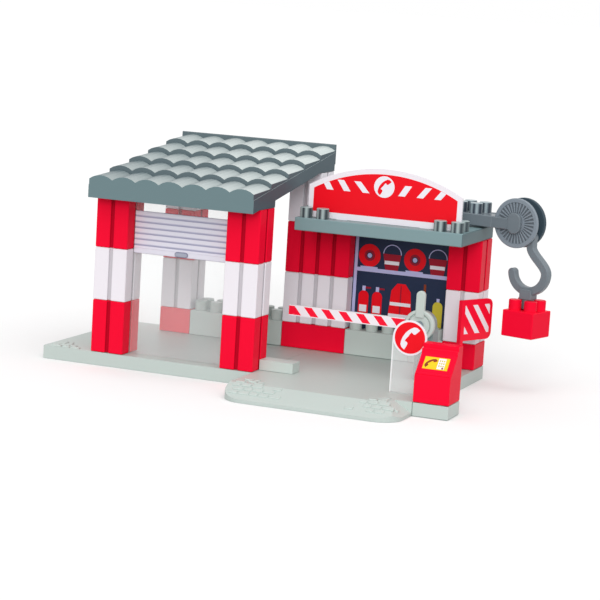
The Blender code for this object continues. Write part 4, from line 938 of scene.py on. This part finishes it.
rails = [((-half + RAIL_OUT, RAIL_FOOT), (-half + RAIL_IN, length - RAIL_OUT)),
         ((half - RAIL_IN, RAIL_FOOT), (half - RAIL_OUT, length - RAIL_OUT)),
         ((-half + RAIL_IN, RAIL_FOOT), (half - RAIL_IN, 0.0030))]
add_piece("call_box_fine", [solid(profile, box_low.x, box_high.x, "x", edge=FINE_EDGE)]
          + [moved(slab((*low, RAIL_ROOT), (*high, RAIL_RISE), 0.0003), SLOPE) for low, high in rails],
          red, "station", ["call_box"])


def stick(name, outlines, layer, look):
    """Print flat shapes on the call box's slope. X is across and Y is up the slope."""
    shapes = [solid(o, PRINT * (layer - 1) * LAYER_OVERLAP, PRINT * layer) for o in outlines]
    add_piece(name, shapes, look, "station", (), SLOPE)


LABEL = (-0.0112, 0.0106, 0.0074, 0.0198)
KEYPAD = (0.0012, 0.0076)
KEYPAD_MARGIN = 0.0008
stick("call_label_yellow", [rectangle(*LABEL)], 1, ink_orange)
KEY_WIDTH, KEY_HEIGHT, KEY_STEP, KEY_RISE = 0.0011, 0.0015, 0.0018, 0.0026
first_x, first_y = KEYPAD[0] + 0.0010, LABEL[2] + 0.0032
keys = [rectangle(x, x + KEY_WIDTH, y, y + KEY_HEIGHT)
        for x in (first_x + KEY_STEP * k for k in range(3))
        for y in (first_y + KEY_RISE * k for k in range(3))]
stick("call_label_keypad", [rectangle(*KEYPAD, LABEL[2] + KEYPAD_MARGIN, LABEL[3] - KEYPAD_MARGIN)], 2,
      ink_white)
stick("call_label_keys", keys, 3, ink_yellow)
dot = circle((KEYPAD[1] - 0.0014, LABEL[2] + 0.0018), 0.0009, 14)
stick("call_label_handset", [handset((-0.0050, 0.0136), 0.0118, -52), dot], 3, ink_brown)

# %% [markdown]
# ## Barrier and flag
#
# The boom and the flag carry slanted stripes, drawn from the distance along each board. The boom's
# first and last stripe run on to its ends.

# %% Barrier
show(frame["nodes"]["barrier_post"], post_grey)
show(frame["nodes"]["barrier_pin"], mid_grey)
arm_low, arm_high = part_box("barrier_arm")
pin_middle = middle("barrier_pin")
BARRIER_FRAME = Matrix.Translation((pin_middle.x, arm_high.y, pin_middle.z))
HUB_DISC, HUB_DEPTH, PIN_BORE, HUB_GROOVE, HUB_RIM = 0.0137, 0.0040, 0.0028, 0.0014, 0.0004
LEVER_HALF, LEVER_TOP, LEVER_DEPTH = 0.0039, 0.0307, 0.0055
BOOM_HALF, BOOM_DEPTH, HUB_SINK = 0.0048, 0.0026, -0.0006
GROOVE_IN, GROOVE_OUT, GROOVE_SLOPE = 0.0094, 0.0110, 0.0004
groove_floor, rim_face = HUB_GROOVE - HUB_DEPTH, -HUB_DEPTH - HUB_RIM
hub_profile = [(PIN_BORE, 0), (PIN_BORE, -HUB_DEPTH), (GROOVE_IN, -HUB_DEPTH),
               (GROOVE_IN + GROOVE_SLOPE, groove_floor), (GROOVE_OUT - GROOVE_SLOPE, groove_floor),
               (GROOVE_OUT, rim_face), (HUB_DISC - EDGE, rim_face), (HUB_DISC, 0.0002 - HUB_DEPTH),
               (HUB_DISC, 0)]
lever = arc((0, LEVER_TOP - LEVER_HALF), LEVER_HALF, 0, 180, 14)
lever += [(-LEVER_HALF, HUB_DISC / 2), (LEVER_HALF, HUB_DISC / 2)]
bar = rectangle(arm_low.x - pin_middle.x, -HUB_DISC / 2, -BOOM_HALF, BOOM_HALF)
arm_shapes = [turned(hub_profile, "y"), solid(lever, -LEVER_DEPTH, HUB_SINK, "y", edge=0.0006),
              solid(bar, -BOOM_DEPTH, HUB_SINK, "y", edge=0.0004)]
add_piece("barrier_arm_fine", arm_shapes, pale_grey, "barrier", ["barrier_arm"],
          BARRIER_FRAME)
board_low, board_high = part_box("boom_board")
BOOM_PITCH, BOOM_START, BOOM_SLANT, BOOM_RED = 0.0166, 0.0029, 0.86, 0.46
BOOM_EDGE, FIRST_STRIPE, LAST_STRIPE = 0.0008, 0.0040, 6
AHEAD = 10.0
boom_look = Look("striped boom", RED_COLOUR, 0.34)
boom_look.set("IOR", 1.25)
x, y, z = boom_look.place()
slant = (x - (board_low.x - BOOM_START)) + (z - board_high.z) * BOOM_SLANT
bars = (slant / BOOM_PITCH + AHEAD).fraction().below(BOOM_RED)
bars = bars.larger(x.below(board_low.x + FIRST_STRIPE)).larger(slant.above(BOOM_PITCH * LAST_STRIPE))
bars = bars * z.between(board_low.z + BOOM_EDGE, board_high.z - BOOM_EDGE)
boom_look.set("Base Color", boom_look.mix(bars, WHITE_COLOUR, RED_COLOUR))
boom_look.bump(boom_look.noise(MOULD_TEXTURE, 1.0), MOULD_DEPTH)
show(frame["nodes"]["boom_board"], boom_look)

# %% Flag
_, flag_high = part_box("striped_flag")
FLAG_TURN = math.radians(65)
POST = pivots["flag_swing"]
FLAG_HEIGHT, FLAG_PITCH, FLAG_START, FLAG_SLANT, FLAG_WHITE = 0.037, 0.0156, 0.0074, 0.786, 0.41
BOARD_ACROSS, BOARD_UP = (0.0033, 0.0365), (0.0062, 0.0322)
flag_look = Look("striped flag", RED_COLOUR, 0.34)
flag_look.set("IOR", 1.25)
x, y, z = flag_look.place()
out_along = (x - POST.x) * math.cos(FLAG_TURN) + (y - POST.y) * math.sin(FLAG_TURN)
up_along = z - (flag_high.z - FLAG_HEIGHT)
bars = ((out_along + up_along * FLAG_SLANT - FLAG_START) / FLAG_PITCH + AHEAD).fraction().below(FLAG_WHITE)
inside_board = out_along.between(*BOARD_ACROSS) * up_along.between(*BOARD_UP)
flag_look.set("Base Color", flag_look.mix(bars * inside_board, RED_COLOUR, WHITE_COLOUR))
show(frame["nodes"]["striped_flag"], flag_look)

# %% [markdown]
# ## Crane
#
# The crane is satin grey. A finer arm with round studs and a proud oval hub takes the place of the
# CAD arm. Spun discs with chamfered rims take the place of the CAD discs, and the front one has
# ribs in its recess, whose floor carries painted shade. The hook is a flat bar with wide chamfers.
# The axle and foot keep their CAD shape. The wheel stands on its joint's place in the record, so it turns
# true.

# %% Crane arm
for node in ("crane_foot", "wheel_axle"):
    show(frame["nodes"][node], crane_grey)
CRANE_TURN = math.radians(-15)
TURNED = Matrix.Rotation(CRANE_TURN, 4, "Z")
foot_middle = middle("crane_foot")
CRANE_FRAME = Matrix.Translation((foot_middle.x, foot_middle.y, 0)) @ TURNED
ARM_LOW, ARM_HIGH = plate_top + 0.0020, plate_top + 0.0125
wheel_pivot = CRANE_FRAME.inverted() @ pivots["crane_wheel_turn"]
WHEEL_X, WHEEL_Z = wheel_pivot.x, wheel_pivot.z
print(f"wheel pivot {WHEEL_X * 1000:.2f} mm out from the swivel, {WHEEL_Z * 1000:.2f} mm up")
ARM_WALL, STRAP, STRAP_LESS = 0.0115, 0.0035, 0.0003
BAR_START, BAR_DEPTH, BAR_END, STRAP_START = 0.0150, 0.0180, 0.0296, 0.0290
HUB_WIDTH, HUB_HEIGHT = 0.0134, 0.0188
front = -STUD_PITCH
ledge = HUB_HEIGHT / 2 - HUB_WIDTH / 2
hub_oval = (arc((WHEEL_X, WHEEL_Z + ledge), HUB_WIDTH / 2, 0, 180, 18)
            + arc((WHEEL_X, WHEEL_Z - ledge), HUB_WIDTH / 2, 180, 360, 18))
arm_shapes = [
    moved(shell(block_outline(2, 2, False), ARM_HIGH - ARM_LOW, ARM_WALL),
          Matrix.Translation((0, 0, ARM_LOW))),
    slab((BAR_START, front, ARM_LOW), (BAR_END, front + BAR_DEPTH, ARM_HIGH)),
    slab((STRAP_START, front + 0.0005, ARM_LOW + STRAP_LESS),
         (WHEEL_X, front + STRAP, ARM_HIGH - STRAP_LESS), 0.0004),
    solid(hub_oval, front, front + STRAP, "y", edge=FINE_EDGE)]
add_piece("crane_arm_fine", arm_shapes, crane_grey, "crane", ["crane_arm"], CRANE_FRAME)
add_piece("crane_studs", studs(grid(2, 2), ARM_HIGH), crane_stud_sheen, "crane", (), CRANE_FRAME)

# %% Crane wheel
WHEEL, RIM, HUB, BORE = 0.0225, 0.0042, 0.0092, 0.0027
FRONT_DISC, SLOT, REAR_DISC, CORE, RUN = 0.0028, 0.0098, 0.0044, 0.0050, 0.0003
RECESS, RIBS = 0.0012, 32
RIB_NARROW, RIB_WIDE, RIB_ROOT = 0.00045, 0.0008, 0.0002
FACE_EDGE, BACK_EDGE, REAR_EDGE, REAR_BACK_EDGE = 0.0006, 0.0004, 0.0005, 0.0008
PIN_ORBIT, PIN_TURN, PIN_RADIUS = 0.0185, math.radians(-40), 0.0018
WHEEL_FRAME = CRANE_FRAME @ Matrix.Translation((WHEEL_X, front + STRAP + RUN, WHEEL_Z))
rim_in = WHEEL - RIM
face_profile = [(BORE, 0), (HUB - 0.0003, 0), (HUB, RECESS), (rim_in, RECESS), (rim_in + 0.0006, 0),
                (WHEEL - FACE_EDGE, 0), (WHEEL, FACE_EDGE), (WHEEL, FRONT_DISC - BACK_EDGE),
                (WHEEL - BACK_EDGE, FRONT_DISC), (BORE, FRONT_DISC)]
rib = [(HUB - 0.0002, -RIB_NARROW), (rim_in + 0.0004, -RIB_WIDE), (rim_in + 0.0004, RIB_WIDE),
       (HUB - 0.0002, RIB_NARROW)]
FACE_ON = Matrix(((1, 0, 0, 0), (0, 0, 1, 0), (0, -1, 0, 0), (0, 0, 0, 1)))
ribs = [moved(solid(rib, RIB_ROOT, RECESS + RIB_ROOT, edge=0.0002),
              Matrix.Rotation(math.tau * k / RIBS, 4, "Y") @ FACE_ON) for k in range(RIBS)]
to_wheel = WHEEL_FRAME.inverted()


def in_recess(centre, normal):
    """Whether a face is the floor between the ribs, which gets painted shade."""
    place = to_wheel @ centre
    return abs(place.y - RECESS) < 0.0002 and HUB < math.hypot(place.x, place.z) < rim_in


add_piece("wheel_front_fine", [turned(face_profile, "y", 64)] + ribs, wheel_grey, "wheel",
          ["wheel_front_disc"], WHEEL_FRAME, in_recess)
rear = FRONT_DISC + SLOT
rear_end = rear + REAR_DISC
rear_profile = [(BORE, FRONT_DISC + RUN), (CORE, FRONT_DISC + RUN), (CORE, rear), (WHEEL - REAR_EDGE, rear),
                (WHEEL, rear + REAR_EDGE), (WHEEL, rear_end - REAR_BACK_EDGE),
                (WHEEL - REAR_BACK_EDGE, rear_end), (BORE, rear_end)]
pin = (PIN_ORBIT * math.cos(PIN_TURN), PIN_ORBIT * math.sin(PIN_TURN))
rear_shapes = [turned(rear_profile, "y", 64),
               rod(pin, PIN_RADIUS, FRONT_DISC + RUN, rear + 0.0004, "y", sides=20)]
add_piece("wheel_rear_fine", rear_shapes, dark_grey, "wheel", ["wheel_rear_disc"], WHEEL_FRAME)

# %% Hook
HOOK_HALF, HOOK_DEPTH, HOOK_DROP, BOWL, NECK_DROP = 0.0039, 0.0076, 0.0316, 0.0170, 0.0080
EYE, EYE_BORE, EYE_DEPTH, PLUG, PLUG_DROP, PLUG_LOW = 0.0042, 0.0021, 0.0070, 0.0120, 0.00935, -0.0560
PEG, PEG_LENGTH, HOOK_EDGE = 0.0051, 0.0088, 0.0011
NECK_STEPS, BOWL_STEPS, BOWL_END = 14, 28, -175
hook_line = [Vector((0, 0))]
for k in range(NECK_STEPS):
    share = k / NECK_STEPS
    ease = share ** 2 * (3 - 2 * share)
    hook_line.append(Vector((BOWL * ease, -NECK_DROP - (HOOK_DROP - NECK_DROP) * share)))
hook_line += [Vector(p) for p in arc((0, -HOOK_DROP), BOWL, 0, BOWL_END, BOWL_STEPS)]
sides = ([], [])
for k, point in enumerate(hook_line):
    ahead = hook_line[min(k + 1, len(hook_line) - 1)] - hook_line[max(k - 1, 0)]
    side = Vector((-ahead.y, ahead.x)).normalized() * HOOK_HALF
    sides[0].append(tuple(point + side))
    sides[1].append(tuple(point - side))
heading = math.degrees(math.atan2(ahead.y, ahead.x))
tip = arc(hook_line[-1], HOOK_HALF, heading + 90, heading - 90, 12)
hook_outline = sides[0][:-1] + tip + sides[1][-2::-1]
pin_place = WHEEL_FRAME @ Vector((pin[0], FRONT_DISC + SLOT / 2, pin[1]))
print(f"hook pin {(pin_place - pivots['hook_swing']).length * 1000:.2f} mm from its joint")
hook_shapes = [solid(hook_outline, -HOOK_DEPTH / 2, HOOK_DEPTH / 2, "y", edge=HOOK_EDGE),
               turned([(EYE_BORE, -EYE_DEPTH / 2), (EYE, -EYE_DEPTH / 2), (EYE, EYE_DEPTH / 2),
                       (EYE_BORE, EYE_DEPTH / 2)], "y"),
               slab((-PLUG / 2, -PLUG / 2, PLUG_LOW), (PLUG / 2, PLUG / 2, PLUG_LOW + PLUG_DROP)),
               rod((0, 0), PEG, PLUG_LOW - PEG_LENGTH, PLUG_LOW + 0.0006, edge=FINE_EDGE, sides=28)]
add_piece("crane_hook_fine", hook_shapes, crane_grey, "hook", ["crane_hook"],
          Matrix.Translation(pin_place) @ TURNED)

# %% Hanging brick
brick_low, brick_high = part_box("hanging_brick")
brick = middle("hanging_brick")
add_piece("hanging_brick_fine", block(2, 2, brick_high.z - brick_low.z - STUD_HEIGHT, False), red, "hook",
          ["hanging_brick"], Matrix.Translation((brick.x, brick.y, brick_low.z)) @ TURNED)

# %% [markdown]
# ## Studio
#
# A pale floor, a low soft light from the front, a very broad one from above and a weak one from the
# right. The floor and the background are bright to the camera and to reflections and dimmer as
# light, and the floor keeps the shadow. The camera stands at the photograph's angle.

# %% Floor
FLOOR_SEEN, FLOOR_BOUNCE = (0.94, 0.94, 0.94), (0.50, 0.50, 0.50)
FLOOR_HALF, FLOOR_LOW, FLOOR_TOP = 40, -0.02, -0.0002
SEEN_RAYS = ("Is Camera Ray", "Is Glossy Ray", "Is Transmission Ray")
floor_look = Look("studio floor", FLOOR_BOUNCE, 0.9)
floor_look.set("Specular IOR Level", 0.0)
camera_ray, glossy_ray, clear_ray = [floor_look.node("ShaderNodeLightPath", [], output=kind)
                                     for kind in SEEN_RAYS]
seen = camera_ray.larger(glossy_ray).larger(clear_ray)
floor_look.set("Base Color", floor_look.mix(seen, FLOOR_BOUNCE, FLOOR_SEEN))
floor_mesh = bpy.data.meshes.new("studio_floor")
floor_shape = solid(rectangle(-FLOOR_HALF, FLOOR_HALF, -FLOOR_HALF, FLOOR_HALF), FLOOR_LOW, FLOOR_TOP)
floor_shape.to_mesh(floor_mesh)
floor_shape.free()
floor = bpy.data.objects.new("studio_floor", floor_mesh)
bpy.context.scene.collection.objects.link(floor)
floor.data.materials.append(floor_look.material)

# %% Lights


def soft_light(name, towards, strength, spread):
    """A broad distant light that comes from a direction. Spread is its width in degrees."""
    lamp = bpy.data.lights.new(name, "SUN")
    lamp.energy = strength
    lamp.angle = math.radians(spread)
    obj = bpy.data.objects.new(name, lamp)
    obj.location = Vector(towards)
    obj.rotation_euler = Vector(towards).to_track_quat("Z", "Y").to_euler()
    bpy.context.scene.collection.objects.link(obj)


soft_light("key", (0.30, -1.0, 0.30), 1.12, 25)
soft_light("top", (0.25, -0.45, 1.0), 1.05, 70)
soft_light("fill", (1.0, -0.5, 0.4), 0.12, 60)

SKY_LIGHT, SKY_SEEN = 0.70, 1.0
world = bpy.data.worlds.new("studio")
bpy.context.scene.world = world
world.use_nodes = True
nodes = world.node_tree.nodes
links = world.node_tree.links
dim, bright = nodes["Background"], nodes.new("ShaderNodeBackground")
for sky, strength in ((dim, SKY_LIGHT), (bright, SKY_SEEN)):
    sky.inputs["Color"].default_value = (1, 1, 1, 1)
    sky.inputs["Strength"].default_value = strength
path = nodes.new("ShaderNodeLightPath")
last = path.outputs[SEEN_RAYS[0]]
for ray in SEEN_RAYS[1:]:
    either = nodes.new("ShaderNodeMath")
    either.operation = "MAXIMUM"
    links.new(last, either.inputs[0])
    links.new(path.outputs[ray], either.inputs[1])
    last = either.outputs[0]
choose = nodes.new("ShaderNodeMixShader")
for socket, source in enumerate((last, dim.outputs[0], bright.outputs[0])):
    links.new(source, choose.inputs[socket])
links.new(choose.outputs[0], nodes["World Output"].inputs["Surface"])

# %% Camera
AZIMUTH, ELEVATION, ROLL = math.radians(21.232), math.radians(8.566), math.radians(3.50)
FOCAL, PICTURE = 2034.5, 600
CAMERA_PLACE = (0.5944, -1.6777, 0.3450)
level = math.cos(ELEVATION)
forward = Vector((-math.sin(AZIMUTH) * level, math.cos(AZIMUTH) * level, -math.sin(ELEVATION)))
right = Vector((math.cos(AZIMUTH), math.sin(AZIMUTH), 0))
upward = right.cross(forward)
right, upward = (right * math.cos(ROLL) + upward * math.sin(ROLL),
                 upward * math.cos(ROLL) - right * math.sin(ROLL))
camera_data = bpy.data.cameras.new("camera")
camera_data.lens = FOCAL / PICTURE * camera_data.sensor_width
camera_data.clip_start = 0.05
camera = bpy.data.objects.new("camera", camera_data)
basis = Matrix((right, upward, -forward)).transposed().to_4x4()
camera.matrix_world = Matrix.Translation(CAMERA_PLACE) @ basis
bpy.context.scene.collection.objects.link(camera)
bpy.context.scene.camera = camera
bpy.context.scene.view_settings.view_transform = "Standard"
